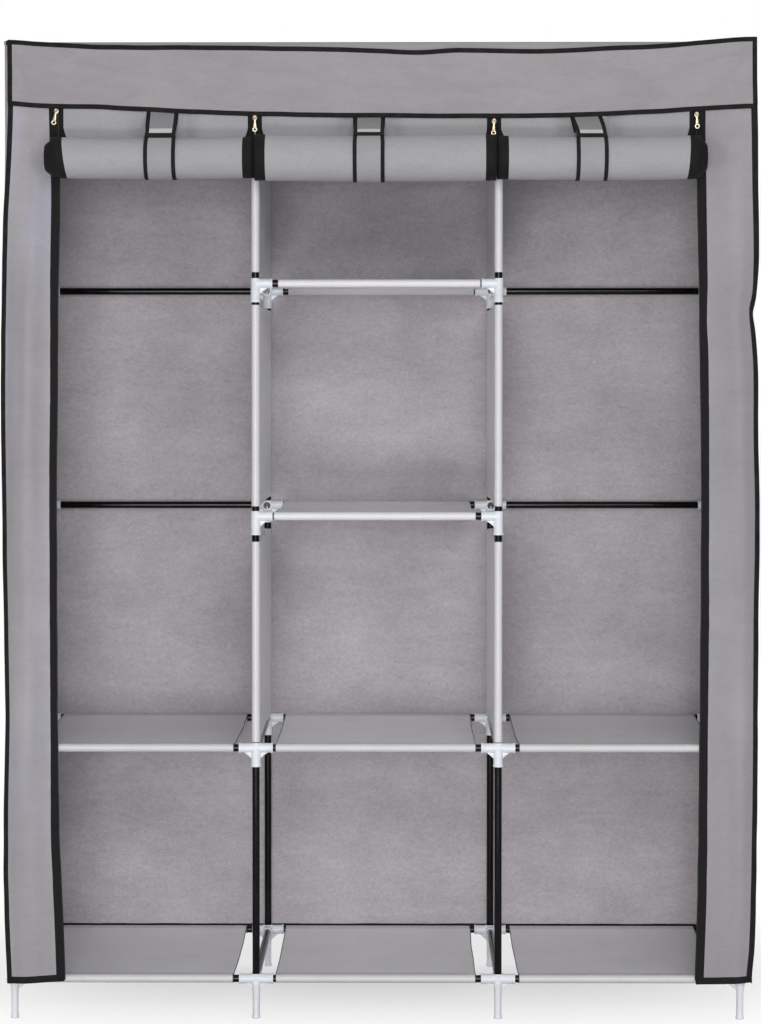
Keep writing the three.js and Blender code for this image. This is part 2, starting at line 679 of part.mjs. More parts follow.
// A strap: from the pelmet's hem down in front of the roll, round under it and up behind the
// door's hanging part
function strap(door) {
  const centre = new THREE.Vector2(rollY(door), ROLL_AXIS_Z);
  const radius = rollRadius(door) + FIT;
  const head = new THREE.Vector2(PELMET_PLANE, pelmetHem(STRAP_PLACES[door]) - STRAP_HEAD_GAP);
  const back = FRONT_PLANE + FIT;
  const reach = head.clone().sub(centre);
  const tangent = reach.angle() + Math.acos(radius / reach.length());
  const leave = (7 * Math.PI) / 4;
  const side = (extra) => {
    const around = Array.from({ length: STRAP_ARC_STEPS + 1 }, (_, i) => {
      const angle = between(tangent, leave, i / STRAP_ARC_STEPS);
      const out = (radius + extra) / Math.cos((leave - tangent) / (2 * STRAP_ARC_STEPS));
      return new THREE.Vector2(centre.x + out * Math.cos(angle), centre.y + out * Math.sin(angle));
    });
    const last = around.at(-1);
    const run = back + extra - last.x;
    return [
      new THREE.Vector2(head.x - extra, head.y),
      ...around,
      new THREE.Vector2(back + extra, last.y + run),
      new THREE.Vector2(back + extra, head.y),
    ];
  };
  const shape = new THREE.Shape([...side(0), ...side(STRAP_THICKNESS).toReversed()]);
  const geometry = extruded(shape, STRAP_WIDTH);
  geometry.applyMatrix4(new THREE.Matrix4().makeBasis(Y, Z, X));
  return geometry.translate(STRAP_PLACES[door] - STRAP_WIDTH / 2, 0, 0);
}

// Planes of a slider: its front plate's face and its pin
const SLIDER_FRONT = DOOR_FRONT - FIT - SLIDER_PLATE;
const PIN_PLACE = SLIDER_FRONT - FIT - PULL_EYE_DIAMETER / 2;

// A zip slider: a plate in front of the cloth edges and one behind, joined by a core that
// runs between them, with a pin between two ears for the pull
function zipSlider(zip) {
  const back = FRONT_PLANE + FIT + SLIDER_PLATE;
  const box = (width, yLow, yHigh, height, x = 0, z = 0) => {
    const block = new THREE.BoxGeometry(width, yHigh - yLow, height);
    return solidOf(block.translate(x, (yLow + yHigh) / 2, z));
  };
  const plate = new THREE.Shape([
    new THREE.Vector2(-SLIDER_WIDTH / 2, SLIDER_HEIGHT / 2),
    new THREE.Vector2(-SLIDER_WIDTH / 2, 0),
    new THREE.Vector2(-SLIDER_CORE_WIDTH, -SLIDER_HEIGHT / 2),
    new THREE.Vector2(SLIDER_CORE_WIDTH, -SLIDER_HEIGHT / 2),
    new THREE.Vector2(SLIDER_WIDTH / 2, 0),
    new THREE.Vector2(SLIDER_WIDTH / 2, SLIDER_HEIGHT / 2),
  ]);
  const upright = new THREE.Matrix4().makeBasis(X, Z, Y.clone().negate());
  const plates = [SLIDER_FRONT + SLIDER_PLATE, back].map((y) =>
    solidOf(extruded(plate, SLIDER_PLATE).applyMatrix4(upright).translate(0, y, 0)),
  );
  const earX = PULL_TIP_WIDTH / 2 - SLIDER_EAR_THICKNESS / 2;
  const earHeight = PULL_EYE_DIAMETER;
  const earZ = SLIDER_HEIGHT / 2 - earHeight;
  const earFront = PIN_PLACE - PIN_DIAMETER / 2 - SLIDER_EAR_WALL;
  const earBack = SLIDER_FRONT + SLIDER_PLATE / 2;
  const solids = [
    ...plates,
    box(SLIDER_CORE_WIDTH, SLIDER_FRONT, back, SLIDER_HEIGHT / 2),
    box(SLIDER_EAR_THICKNESS, earFront, earBack, earHeight, -earX, earZ),
    box(SLIDER_EAR_THICKNESS, earFront, earBack, earHeight, earX, earZ),
    rod(PIN_DIAMETER / 2, 2 * earX, X, new THREE.Vector3(-earX, PIN_PLACE, earZ)),
  ];
  return geometryOf(joined(solids)).translate(ZIP_PLACES[zip], 0, sliderZ(zip));
}

// A zip pull: an eye round the slider's pin, and a tab that widens to its tip
function zipPull(zip) {
  const eyeWidth = PULL_TIP_WIDTH - 2 * SLIDER_EAR_THICKNESS - 2 * FIT;
  const pinZ = sliderZ(zip) + SLIDER_HEIGHT / 2 - PULL_EYE_DIAMETER;
  const eye = rod(PULL_EYE_DIAMETER / 2, eyeWidth, X, new THREE.Vector3(-eyeWidth / 2, 0, 0));
  const hole = rod(
    PIN_DIAMETER / 2 + FIT,
    eyeWidth + 2 * OVERRUN,
    X,
    new THREE.Vector3(-eyeWidth / 2 - OVERRUN, 0, 0),
  );
  const tab = new THREE.Shape();
  tab.moveTo(-eyeWidth / 2, 0);
  tab.lineTo(-eyeWidth / 2, -PULL_EYE_DIAMETER);
  tab.lineTo(-PULL_TIP_WIDTH / 2, -PULL_LENGTH + PULL_TIP_WIDTH / 2);
  tab.absarc(0, -PULL_LENGTH + PULL_TIP_WIDTH / 2, PULL_TIP_WIDTH / 2, Math.PI, 2 * Math.PI, false);
  tab.lineTo(eyeWidth / 2, -PULL_EYE_DIAMETER);
  tab.lineTo(eyeWidth / 2, 0);
  const upright = new THREE.Matrix4().makeBasis(X, Z, Y.clone().negate());
  const blade = extruded(tab, PULL_THICKNESS).applyMatrix4(upright).translate(0, PULL_THICKNESS / 2, 0);
  const solid = joined([eye, solidOf(blade)]).subtract(hole);
  return geometryOf(solid).translate(ZIP_PLACES[zip], PIN_PLACE, pinZ);
}

// The assembly: every piece a named mesh in one group
const SIDES = ["left", "right"];
const BAYS = ["left", "centre", "right"];
const COLUMNS = ["outer_left", "inner_left", "inner_right", "outer_right"];
const CENTRE_BAY = 1;

function namedPieces() {
  const pieces = [];
  const put = (name, geometry, material) => pieces.push([name, geometry, material]);
  put("base_frame", baseFrame(), blackTube());
  put("top_frame", topFrame(), blackTube());
  COLUMNS.forEach((name, column) => put(`ladder_${name}`, ladder(column), blackTube()));
  for (let level = 2; level < LEVEL_COUNT; level += 1)
    BAYS.forEach((name, bay) => {
      if (level === 2 || bay === CENTRE_BAY)
        put(`front_bar_${name}_level_${level}`, bar(bay, level, -HALF_DEPTH), blackTube());
      put(`rear_bar_${name}_level_${level}`, bar(bay, level, HALF_DEPTH), blackTube());
    });
  put("hanging_rail_left", hangingRail(0), blackTube());
  put("hanging_rail_right", hangingRail(COLUMN_COUNT - 2), blackTube());
  for (let level = 1; level < LEVEL_COUNT; level += 1)
    BAYS.forEach((name, bay) => {
      if (level <= 2 || bay === CENTRE_BAY)
        put(`shelf_${name}_level_${level}`, shelf(bay, level), panelCloth());
    });
  for (let level = 2; level < LEVEL_COUNT; level += 1) {
    put(`divider_left_level_${level}`, divider(1, level), panelCloth());
    put(`divider_right_level_${level}`, divider(2, level), panelCloth());
  }
  put("cover_top", coverTop(), coverCloth());
  put("cover_back", coverBack(), coverCloth());
  SIDES.forEach((name, i) => put(`cover_side_${name}`, coverSide(2 * i - 1), coverCloth()));
  SIDES.forEach((name, i) => put(`cover_flap_${name}`, coverFlap(2 * i - 1), coverCloth()));
  put("cover_pelmet", coverPelmet(), coverCloth());
  BAYS.forEach((name, door) => {
    put(`door_sheet_${name}`, doorSheet(door), coverCloth());
    put(`door_roll_${name}`, doorRoll(door), coverCloth());
    put(`door_strap_${name}`, strap(door), strapCloth());
  });
  ZIP_PLACES.forEach((_, zip) => {
    put(`zip_slider_${zip + 1}`, zipSlider(zip), zipMetal());
    put(`zip_pull_${zip + 1}`, zipPull(zip), zipMetal());
  });
  return pieces;
}

// The wardrobe stands with the middle of its whole depth, rolls included, over the origin
const THICKEST_DOOR = ROLL_DIAMETERS.indexOf(Math.max(...ROLL_DIAMETERS));
const FRONTMOST = rollY(THICKEST_DOOR) - rollRadius(THICKEST_DOOR) - FIT - STRAP_THICKNESS;
const REARMOST = REAR_PLANE + REAR_FOLD_DEPTH + COVER_CLOTH;

const wardrobe = new THREE.Group();
wardrobe.position.y = -(FRONTMOST + REARMOST) / 2;
for (const [name, geometry, material] of namedPieces()) {
  const mesh = new THREE.Mesh(geometry, material);
  mesh.name = name;
  wardrobe.add(mesh);
}

BAYS.forEach((name, door) =>
  console.log(`door_roll_${name}: least gap between layers ${leastRollGap(door).toFixed(2)} mm`),
);

export default wardrobe;
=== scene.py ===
"""A portable fabric wardrobe: enamelled steel tubes in moulded connectors, sleeved cloth shelves
and dividers, and a zipped cloth cover whose three doors are rolled up and strapped.

Metres, +Z up, the front faces -Y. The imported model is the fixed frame, and every piece below is
made where that model has it.
"""
import logging
from bisect import bisect_right
from collections.abc import Callable, Iterable, Sequence
from dataclasses import dataclass
from enum import Enum
from math import acos, atan2, cos, exp, hypot, pi, radians, sin
from typing import ClassVar

import bmesh
import bpy
from mathutils import Matrix, Vector, noise


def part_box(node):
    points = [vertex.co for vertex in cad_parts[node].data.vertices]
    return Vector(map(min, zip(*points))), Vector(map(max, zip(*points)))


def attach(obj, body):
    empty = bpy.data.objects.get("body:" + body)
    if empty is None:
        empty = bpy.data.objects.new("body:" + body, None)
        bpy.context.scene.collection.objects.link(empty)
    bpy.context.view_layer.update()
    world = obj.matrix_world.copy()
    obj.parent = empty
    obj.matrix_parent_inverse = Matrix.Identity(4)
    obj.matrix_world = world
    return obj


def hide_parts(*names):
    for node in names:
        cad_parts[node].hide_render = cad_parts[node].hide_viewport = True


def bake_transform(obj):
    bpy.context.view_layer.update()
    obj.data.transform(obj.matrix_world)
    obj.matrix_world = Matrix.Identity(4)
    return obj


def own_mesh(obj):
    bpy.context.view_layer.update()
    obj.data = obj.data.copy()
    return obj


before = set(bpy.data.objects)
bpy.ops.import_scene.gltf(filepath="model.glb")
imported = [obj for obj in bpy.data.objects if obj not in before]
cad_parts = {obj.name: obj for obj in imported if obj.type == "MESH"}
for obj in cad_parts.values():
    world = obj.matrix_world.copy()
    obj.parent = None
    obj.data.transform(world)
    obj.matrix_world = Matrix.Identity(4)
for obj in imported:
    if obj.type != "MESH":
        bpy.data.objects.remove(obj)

LOG = logging.getLogger("wardrobe")
Colour = tuple[float, float, float]
Place = Callable[[float, float], Vector]
Mesh = bmesh.types.BMesh
X, Y, Z = Vector((1, 0, 0)), Vector((0, 1, 0)), Vector((0, 0, 1))
WHITE: Colour = (1.0, 1.0, 1.0)

# The wave texture runs through this many radians in one unit at scale 1.
WAVE_RADIANS = 20


def between(low: float, high: float, share: float) -> float:
    """The value a share of the way from low to high."""
    return low + (high - low) * share


def eased(value: float, low: float, high: float) -> float:
    """How far a value has gone from low to high, from 0 to 1 with soft ends."""
    share = min(1.0, max(0.0, (value - low) / (high - low)))
    return share * share * (3 - 2 * share)


def rumple(place: Vector, scale: float, seed: float) -> float:
    """A soft random height from about -1 to 1 at a place, a scale in metres wide."""
    return noise.noise(Vector((place.x / scale, place.y / scale, place.z / scale + seed)))


def crease(distance: float, width: float) -> float:
    """The height of a crease's ridge at a distance from its line."""
    return exp(-((distance / width) ** 2))


def bulged(value: float, power: float) -> float:
    """A value from -1 to 1 raised to a power, its sign kept."""
    return abs(value) ** power * (1 if value > 0 else -1)


@dataclass(frozen=True)
class Contour:
    """A smooth curve through stations given as (place, value) pairs in rising order."""

    stations: tuple[tuple[float, float], ...]

    def at(self, place: float) -> float:
        """The value at a place, on the cubic between the two stations on its sides.

        Args:
            place: where along the contour, in the stations' own units.

        Returns:
            The value there; beyond the ends, the end station's value.
        """
        places = [station[0] for station in self.stations]
        index = bisect_right(places, place)
        if index == 0:
            return self.stations[0][1]
        if index == len(places):
            return self.stations[-1][1]
        (low, start), (high, end) = self.stations[index - 1], self.stations[index]
        span, share = high - low, (place - low) / (high - low)
        leave, arrive = self._slope(index - 1) * span, self._slope(index) * span
        rise = share * share * (3 - 2 * share)
        lean = share * (1 - share) * ((1 - share) * leave - share * arrive)
        return between(start, end, rise) + lean

    def _slope(self, index: int) -> float:
        """The contour's slope at a station.

        Args:
            index: the station's number, counted from 0.

        Returns:
            The slope between its neighbours; at the two ends, 0.
        """
        if index in (0, len(self.stations) - 1):
            return 0.0
        before, after = self.stations[index - 1], self.stations[index + 1]
        return (after[1] - before[1]) / (after[0] - before[0])


class Trail:
    """A chain of points read by the share of its length."""

    def __init__(self, points: Sequence[Vector]) -> None:
        """Measures the chain.

        Args:
            points: the corners of the chain, in order.
        """
        self.points = [Vector(point) for point in points]
        self.marks = [0.0]
        for start, end in zip(self.points, self.points[1:]):
            self.marks.append(self.marks[-1] + (end - start).length)
        self.length = self.marks[-1]

    def at(self, share: float) -> Vector:
        """The point a share of the way along.

        Args:
            share: from 0 at the start to 1 at the end.

        Returns:
            The point.
        """
        mark = min(1.0, max(0.0, share)) * self.length
        index = min(len(self.points) - 2, max(0, bisect_right(self.marks, mark) - 1))
        step = self.marks[index + 1] - self.marks[index]
        part = (mark - self.marks[index]) / step if step > 0 else 0.0
        return self.points[index].lerp(self.points[index + 1], part)


@dataclass(frozen=True)
class Layout:
    """The wardrobe's sizes and planes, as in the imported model."""

    bay: float = 0.425
    half_depth: float = 0.215
    pitch: float = 0.407
    leg: float = 0.070
    tube: float = 0.0065
    socket: float = 0.0083
    mouth: float = 0.0092
    seat: float = 0.011
    arm: float = 0.030
    drop: float = 0.033
    sleeve: float = 0.0070
    flap_gap: float = 0.003
    pelmet_gap: float = 0.0026
    back_gap: float = 0.001
    side: float = 0.6507
    top: float = 1.7090
    zips: tuple[float, ...] = (-0.5580, -0.2124, 0.2036, 0.5556)
    roll_axis: float = 1.5070
    middle: float = sum(corner[1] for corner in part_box("base_frame")) / 2

    @property
    def front(self) -> float:
        """Where the front tubes' axes lie."""
        return self.middle - self.half_depth

    @property
    def rear(self) -> float:
        """Where the rear tubes' axes lie."""
        return self.middle + self.half_depth

    @property
    def front_plane(self) -> float:
        """The inner face of the flaps and doors."""
        return self.front - self.mouth - self.flap_gap

    @property
    def pelmet_plane(self) -> float:
        """The inner face of the pelmet."""
        return self.front_plane - self.pelmet_gap

    @property
    def rear_plane(self) -> float:
        """The inner face of the back."""
        return self.rear + self.mouth + self.back_gap

    def column(self, index: int) -> float:
        """Where a column of tubes stands, counted from the left."""
        return (index - 1.5) * self.bay

    def level(self, number: int) -> float:
        """How high a level of tubes lies, counted from 1."""
        return self.leg + (number - 1) * self.pitch


PLAN = Layout()
COLUMNS = ("outer_left", "inner_left", "inner_right", "outer_right")
BAYS = ("left", "centre", "right")


# ---- finishes


class Nodes:
    """A node tree, written as a chain of short calls."""

    def __init__(self, owner: bpy.types.ID) -> None:
        """Empties a node tree.

        Args:
            owner: the material or the world that has it.
        """
        owner.use_nodes = True
        self.tree = owner.node_tree
        self.tree.nodes.clear()

    def add(self, kind: str, sockets: dict, **settings: object) -> bpy.types.Node:
        """Adds a node.

        Args:
            kind: the node's type.
            sockets: its inputs by name or number, each a constant or (node, output name).
            settings: its own properties.

        Returns:
            The node.
        """
        node = self.tree.nodes.new(kind)
        for key, value in settings.items():
            setattr(node, key, value)
        self.feed(node, sockets)
        return node

    def feed(self, node: bpy.types.Node, sockets: dict) -> None:
        """Sets a node's inputs.

        Args:
            node: the node.
            sockets: its inputs by name or number, each a constant or (node, output name).
        """
        for key, value in sockets.items():
            if isinstance(value, tuple) and value and isinstance(value[0], bpy.types.Node):
                self.tree.links.new(value[0].outputs[value[1]], node.inputs[key])
            else:
                node.inputs[key].default_value = value

    def ranged(self, value: tuple, low: float, high: float, start: float, end: float) -> tuple:
        """A value carried from one range to another."""
        sockets = {"Value": value, "From Min": low, "From Max": high, "To Min": start, "To Max": end}
        return self.add("ShaderNodeMapRange", sockets), "Result"

    def math(self, operation: str, first: object, second: object) -> tuple:
        """Two values put together by an operation."""
        return self.add("ShaderNodeMath", {0: first, 1: second}, operation=operation), "Value"


class Recipe(Nodes):
    """A material's nodes."""

    def __init__(self, title: str) -> None:
        """Starts an empty material with a principled shader.

        Args:
            title: the material's name.
        """
        self.material = bpy.data.materials.new(title)
        super().__init__(self.material)
        self.shader = self.add("ShaderNodeBsdfPrincipled", {})
        self.output = self.add("ShaderNodeOutputMaterial", {"Surface": (self.shader, "BSDF")})

    def surface(self, **constants: float) -> None:
        """Sets constants on the principled shader's own sockets, named with underscores."""
        for key, value in constants.items():
            self.shader.inputs[key.replace("_", " ")].default_value = value

    def coordinates(self, source: str, stretch: Colour = WHITE) -> tuple[bpy.types.Node, str]:
        """Pattern coordinates.

        Args:
            source: "UV" or "Object".
            stretch: how much finer the pattern is along each axis.

        Returns:
            The node and its output.
        """
        texture = self.add("ShaderNodeTexCoord", {})
        mapping = self.add("ShaderNodeMapping", {"Vector": (texture, source), "Scale": stretch})
        return mapping, "Vector"

    def drawn(self, finer: float) -> tuple[bpy.types.Node, str]:
        """Pattern coordinates on the flat cloth, finer along its length by a factor."""
        return self.coordinates("UV", (1.0, finer, 1.0))

    def noise(self, at: tuple, scale: float, detail: float = 3, distortion: float = 0) -> tuple:
        """A soft random pattern from 0 to 1."""
        sockets = {"Vector": at, "Scale": scale, "Detail": detail, "Distortion": distortion}
        return self.add("ShaderNodeTexNoise", sockets), "Fac"

    def bands(self, at: tuple, period: float, direction: str, distortion: float = 0) -> tuple:
        """Even bands across one axis, a period in metres apart."""
        sockets = {"Vector": at, "Scale": 2 * pi / (WAVE_RADIANS * period), "Distortion": distortion}
        return self.add("ShaderNodeTexWave", sockets, bands_direction=direction), "Fac"

    def mottled(self, pattern: tuple, low: float, high: float) -> tuple:
        """A noise's middle range, where nearly all of it lies, carried to a low and a high value."""
        return self.ranged(pattern, 0.3, 0.7, low, high)

    def swing(self, pattern: tuple, share: float) -> tuple:
        """A noise as a factor that swings by a share on both sides of 1."""
        return self.mottled(pattern, 1 - share, 1 + share)

    def tint(self, tone: Colour, *shades: tuple) -> None:
        """Sets the base colour: a tone made lighter and darker by the product of some values.

        Args:
            tone: the plain colour.
            shades: the values, each a node and its output.
        """
        value = shades[0]
        for shade in shades[1:]:
            value = self.math("MULTIPLY", value, shade)
        scaled = self.add("ShaderNodeVectorMath", {0: tone, "Scale": value}, operation="SCALE")
        self.feed(self.shader, {"Base Color": (scaled, "Vector")})

    def painted_sheen(self, pattern: tuple, colour: Colour) -> None:
        """Multiplies the base colour by another one where a pattern is high.

        Args:
            pattern: the pattern, a node and its output.
            colour: the colour to multiply by.
        """
        link = self.shader.inputs["Base Color"].links[0]
        share = self.ranged(pattern, 0.42, 0.62, 0.0, 1.0)
        mixed = self.add("ShaderNodeMix", {"Factor": share}, data_type="RGBA", blend_type="MULTIPLY")
        self.tree.links.new(link.from_socket, mixed.inputs[6])
        mixed.inputs[7].default_value = (*colour, 1)
        self.tree.links.new(mixed.outputs[2], self.shader.inputs["Base Color"])

    def relief(self, *layers: tuple[tuple, float, float]) -> None:
        """Sets the bumps.

        Args:
            layers: each (height, strength, distance in metres), the last one finest.
        """
        normal = None
        for height, strength, distance in layers:
            sockets = {"Height": height, "Strength": strength, "Distance": distance}
            if normal:
                sockets["Normal"] = normal
            normal = (self.add("ShaderNodeBump", sockets), "Normal")
        self.feed(self.shader, {"Normal": normal})


@dataclass(frozen=True)
class Finish:
    """A finish, made into a material when a piece first asks for it."""

    title: str
    made: ClassVar[dict[str, bpy.types.Material]] = {}

    def material(self) -> bpy.types.Material:
        """Makes the finish's material when it is first asked for.

        Returns:
            The finish's one material.
        """
        if self.title not in Finish.made:
            recipe = Recipe(self.title)
            self.paint(recipe)
            Finish.made[self.title] = recipe.material
        return Finish.made[self.title]

    def paint(self, recipe: Recipe) -> None:
        """Puts the finish's nodes into a recipe."""
        raise NotImplementedError


@dataclass(frozen=True)
class FeltedCloth(Finish):
    """Thin spun cloth: matted fibres in cloudy patches with drawn wisps, bonded in fine dots."""

    tone: Colour = (0.335, 0.315, 0.333)
    cloud: float = 0.05
    wisp: float = 0.05
    matting: float = 0.03
    painted_fold_shade: float = 0.0
    fleck: float = 0.10
    cloud_scale: float = 6.0
    wisp_scale: float = 14.0
    matting_scale: float = 120.0
    painted_fold_shade_scale: float = 15.0
    fleck_scale: float = 620.0
    crumple_scale: float = 45.0
    dot_pitch: float = 0.0016
    roughness: float = 0.72
    gloss: float = 0.35
    sheen: float = 0.06
    painted_sheen: Colour = WHITE
    painted_sheen_scale: float = 13.0

    def paint(self, recipe: Recipe) -> None:
        """Puts the finish's nodes into a recipe.

        Args:
            recipe: the material's nodes.
        """
        flat = recipe.coordinates("UV")
        wisps = recipe.noise(recipe.drawn(3.2), self.wisp_scale, 6, 0.9)
        mats = recipe.noise(recipe.drawn(1.35), self.matting_scale, 6, 1.2)
        # Long vertical bands, lighter and darker: painted shade of a flap's soft folds.
        painted_fold_shades = recipe.noise(recipe.drawn(0.10), self.painted_fold_shade_scale, 2, 0.4)
        clouds = recipe.noise(flat, self.cloud_scale, 5, 0.3)
        flecks = recipe.noise(flat, self.fleck_scale, 3)
        recipe.tint(
            self.tone,
            recipe.swing(painted_fold_shades, self.painted_fold_shade),
            recipe.swing(mats, self.matting),
            recipe.swing(clouds, self.cloud),
            recipe.swing(wisps, self.wisp),
            recipe.swing(flecks, self.fleck),
        )
        across, along = recipe.bands(flat, self.dot_pitch, "X"), recipe.bands(flat, self.dot_pitch, "Y")
        dots = recipe.math("MULTIPLY", across, along)
        crumple = recipe.noise(flat, self.crumple_scale, 4, 0.6)
        recipe.relief((crumple, 0.25, 0.004), (dots, 0.12, 0.0003), (flecks, 0.3, 0.0004))
        # Painted sheen: pale bluish patches that lighten the cloth as if its folds caught the light.
        if self.painted_sheen != WHITE:
            recipe.painted_sheen(recipe.noise(recipe.drawn(0.16), self.painted_sheen_scale, 1, 0.5), self.painted_sheen)
        recipe.surface(Roughness=self.roughness, Specular_IOR_Level=self.gloss)
        recipe.surface(Sheen_Weight=self.sheen, Sheen_Roughness=0.5)


@dataclass(frozen=True)
class SleeveCloth(Finish):
    """Close, slightly shiny woven cloth of the shelves and dividers, with the sleeves' seams."""

    tone: Colour = (0.84, 0.835, 0.85)
    over_tube: float = 0.90
    seam: float = 0.1945
    seam_turn: float = 0.005
    pucker: float = 0.004
    thread: float = 0.0009
    # How dark the seam's line is: its stitching, with painted shade.
    seam_stitch_and_shade_tone: float = 0.62
    stitch: float = 0.003
    weave_pitch: float = 0.0007
    cloud_scale: float = 9.0
    crumple_scale: float = 60.0

    def paint(self, recipe: Recipe) -> None:
        """Puts the finish's nodes into a recipe.

        Args:
            recipe: the material's nodes.
        """
        flat = recipe.coordinates("UV")
        clouds = recipe.noise(flat, self.cloud_scale, 4, 0.2)
        warp = recipe.bands(flat, self.weave_pitch, "X", 0.4)
        weft = recipe.bands(flat, self.weave_pitch, "Y", 0.4)
        weave = recipe.math("MULTIPLY", warp, weft)
        parts = recipe.add("ShaderNodeSeparateXYZ", {"Vector": flat})
        depth = recipe.math("ABSOLUTE", (parts, "Y"), 0.0)
        off_seam = recipe.math("ABSOLUTE", recipe.math("SUBTRACT", depth, self.seam), 0.0)
        recipe.tint(
            self.tone,
            recipe.mottled(clouds, 0.965, 1.03),
            recipe.ranged(weave, 0, 1, 0.99, 1.01),
            recipe.ranged(depth, self.seam, self.seam + self.seam_turn, 1.0, self.over_tube),
            # A thin darker line along each seam: its stitching, with painted shade where the sleeve folds
            # onto the web.
            recipe.ranged(off_seam, self.thread * 0.5, self.thread * 1.3, self.seam_stitch_and_shade_tone, 1.0),
        )
        crumple = recipe.noise(flat, self.crumple_scale, 3, 0.5)
        stitches = recipe.bands(flat, self.stitch, "X")
        pull = recipe.math("MULTIPLY", recipe.ranged(off_seam, 0.0, self.pucker, 0.0, 1.0), stitches)
        recipe.relief((pull, 0.25, 0.0006), (crumple, 0.2, 0.003), (weave, 0.04, 0.0003))
        recipe.surface(Roughness=0.38, Specular_IOR_Level=0.55, Sheen_Weight=0.1)


@dataclass(frozen=True)
class BindingTape(Finish):
    """Black ribbed tape, sewn down with a row of stitches near each edge."""

    tone: Colour = (0.0125, 0.0115, 0.0120)
    rib: float = 0.0011
    stitch: float = 0.0032
    wear_scale: float = 70.0
    fluff_scale: float = 900.0

    def paint(self, recipe: Recipe) -> None:
        """Puts the finish's nodes into a recipe.

        Args:
            recipe: the material's nodes.
        """
        flat = recipe.coordinates("UV")
        ribs = recipe.bands(flat, self.rib, "X")
        thread = recipe.bands(flat, self.stitch, "X")
        wear = recipe.noise(flat, self.wear_scale, 4)
        fluff = recipe.noise(flat, self.fluff_scale, 2)
        recipe.tint(
            self.tone,
            recipe.ranged(wear, 0.3, 0.75, 0.8, 1.7),
            recipe.ranged(ribs, 0, 1, 0.75, 1.3),
        )
        recipe.relief((thread, 0.2, 0.0005), (ribs, 0.4, 0.0003), (fluff, 0.3, 0.0003))
        recipe.surface(Roughness=0.7, Specular_IOR_Level=0.12, Sheen_Weight=0.02)


@dataclass(frozen=True)
class ZipTape(Finish):
    """Black zip tape: a fine herringbone along its length."""

    tone: Colour = (0.0110, 0.0102, 0.0108)
    twill_pitch: float = 0.0012
    column_pitch: float = 0.0030
    fluff_scale: float = 800.0

    def paint(self, recipe: Recipe) -> None:
        """Puts the finish's nodes into a recipe.

        Args:
            recipe: the material's nodes.
        """
        flat = recipe.coordinates("UV")
        twill = recipe.bands(flat, self.twill_pitch, "DIAGONAL")
        columns = recipe.bands(flat, self.column_pitch, "X")
        fluff = recipe.noise(flat, self.fluff_scale, 2)
        recipe.tint(self.tone, recipe.ranged(twill, 0, 1, 0.7, 1.5), recipe.ranged(columns, 0, 1, 0.8, 1.3))
        recipe.relief((columns, 0.25, 0.0004), (twill, 0.35, 0.0003), (fluff, 0.3, 0.0003))
        recipe.surface(Roughness=0.7, Specular_IOR_Level=0.12, Sheen_Weight=0.02)


@dataclass(frozen=True)
class CoilThread(Finish):
    """The zip's nylon coil, seen as close turns across its length."""

    tone: Colour = (0.014, 0.014, 0.015)
    turn: float = 0.0014

    def paint(self, recipe: Recipe) -> None:
        """Puts the finish's nodes into a recipe.

        Args:
            recipe: the material's nodes.
        """
        turns = recipe.bands(recipe.coordinates("UV"), self.turn, "Y")
        recipe.tint(self.tone, recipe.ranged(turns, 0, 1, 0.5, 1.6))
        recipe.relief((turns, 0.9, 0.0008))
        recipe.surface(Roughness=0.35, Specular_IOR_Level=0.3)


@dataclass(frozen=True)
class LoopPile(Finish):
    """The pale hooked strip by which a strap holds."""

    tone: Colour = (0.60, 0.595, 0.60)
    hook_scale: float = 1100.0
    fluff_scale: float = 500.0

    def paint(self, recipe: Recipe) -> None:
        """Puts the finish's nodes into a recipe.

        Args:
            recipe: the material's nodes.
        """
        flat = recipe.coordinates("UV")
        cells = {"Vector": flat, "Scale": self.hook_scale}
        hooks = recipe.add("ShaderNodeTexVoronoi", cells), "Distance"
        fluff = recipe.noise(flat, self.fluff_scale, 3)
        recipe.tint(self.tone, recipe.ranged(hooks, 0, 0.7, 0.85, 1.1))
        recipe.relief((hooks, 0.6, 0.0006), (fluff, 0.5, 0.0006))
        recipe.surface(Roughness=0.85, Sheen_Weight=0.3)


@dataclass(frozen=True)
class TubeEnamel(Finish):
    """Black enamel on steel: glossy, faintly rippled, with a few rubbed places."""

    tone: Colour = (0.0036, 0.0033, 0.0035)
    gloss: float = 0.24
    ripple_scale: float = 260.0
    rub_scale: float = 30.0

    def paint(self, recipe: Recipe) -> None:
        """Puts the finish's nodes into a recipe.

        Args:
            recipe: the material's nodes.
        """
        ripple = recipe.noise(recipe.coordinates("Object"), self.ripple_scale, 2)
        rub = recipe.noise(recipe.coordinates("Object", (9, 9, 1)), self.rub_scale, 4, 0.4)
        recipe.tint(self.tone, recipe.ranged(rub, 0.45, 0.8, 0.9, 2.2))
        recipe.feed(recipe.shader, {"Roughness": recipe.ranged(rub, 0.3, 0.75, 0.09, 0.20)})
        recipe.relief((ripple, 0.05, 0.0003))
        recipe.surface(Specular_IOR_Level=self.gloss)


@dataclass(frozen=True)
class MouldedResin(Finish):
    """Cool white moulded plastic: soft gloss, faint flow marks and a fine grain."""

    tone: Colour = (0.81, 0.83, 0.88)
    flow_scale: float = 42.0
    grain_scale: float = 1400.0

    def paint(self, recipe: Recipe) -> None:
        """Puts the finish's nodes into a recipe.

        Args:
            recipe: the material's nodes.
        """
        flow = recipe.noise(recipe.coordinates("Object", (1, 1, 2.4)), self.flow_scale, 3, 0.8)
        grain = recipe.noise(recipe.coordinates("Object"), self.grain_scale, 2)
        recipe.tint(self.tone, recipe.mottled(flow, 0.955, 1.02))
        recipe.feed(recipe.shader, {"Roughness": recipe.mottled(flow, 0.30, 0.42)})
        recipe.relief((flow, 0.08, 0.0008), (grain, 0.1, 0.0001))
        recipe.surface(Subsurface_Weight=0.08, Subsurface_Scale=0.004)


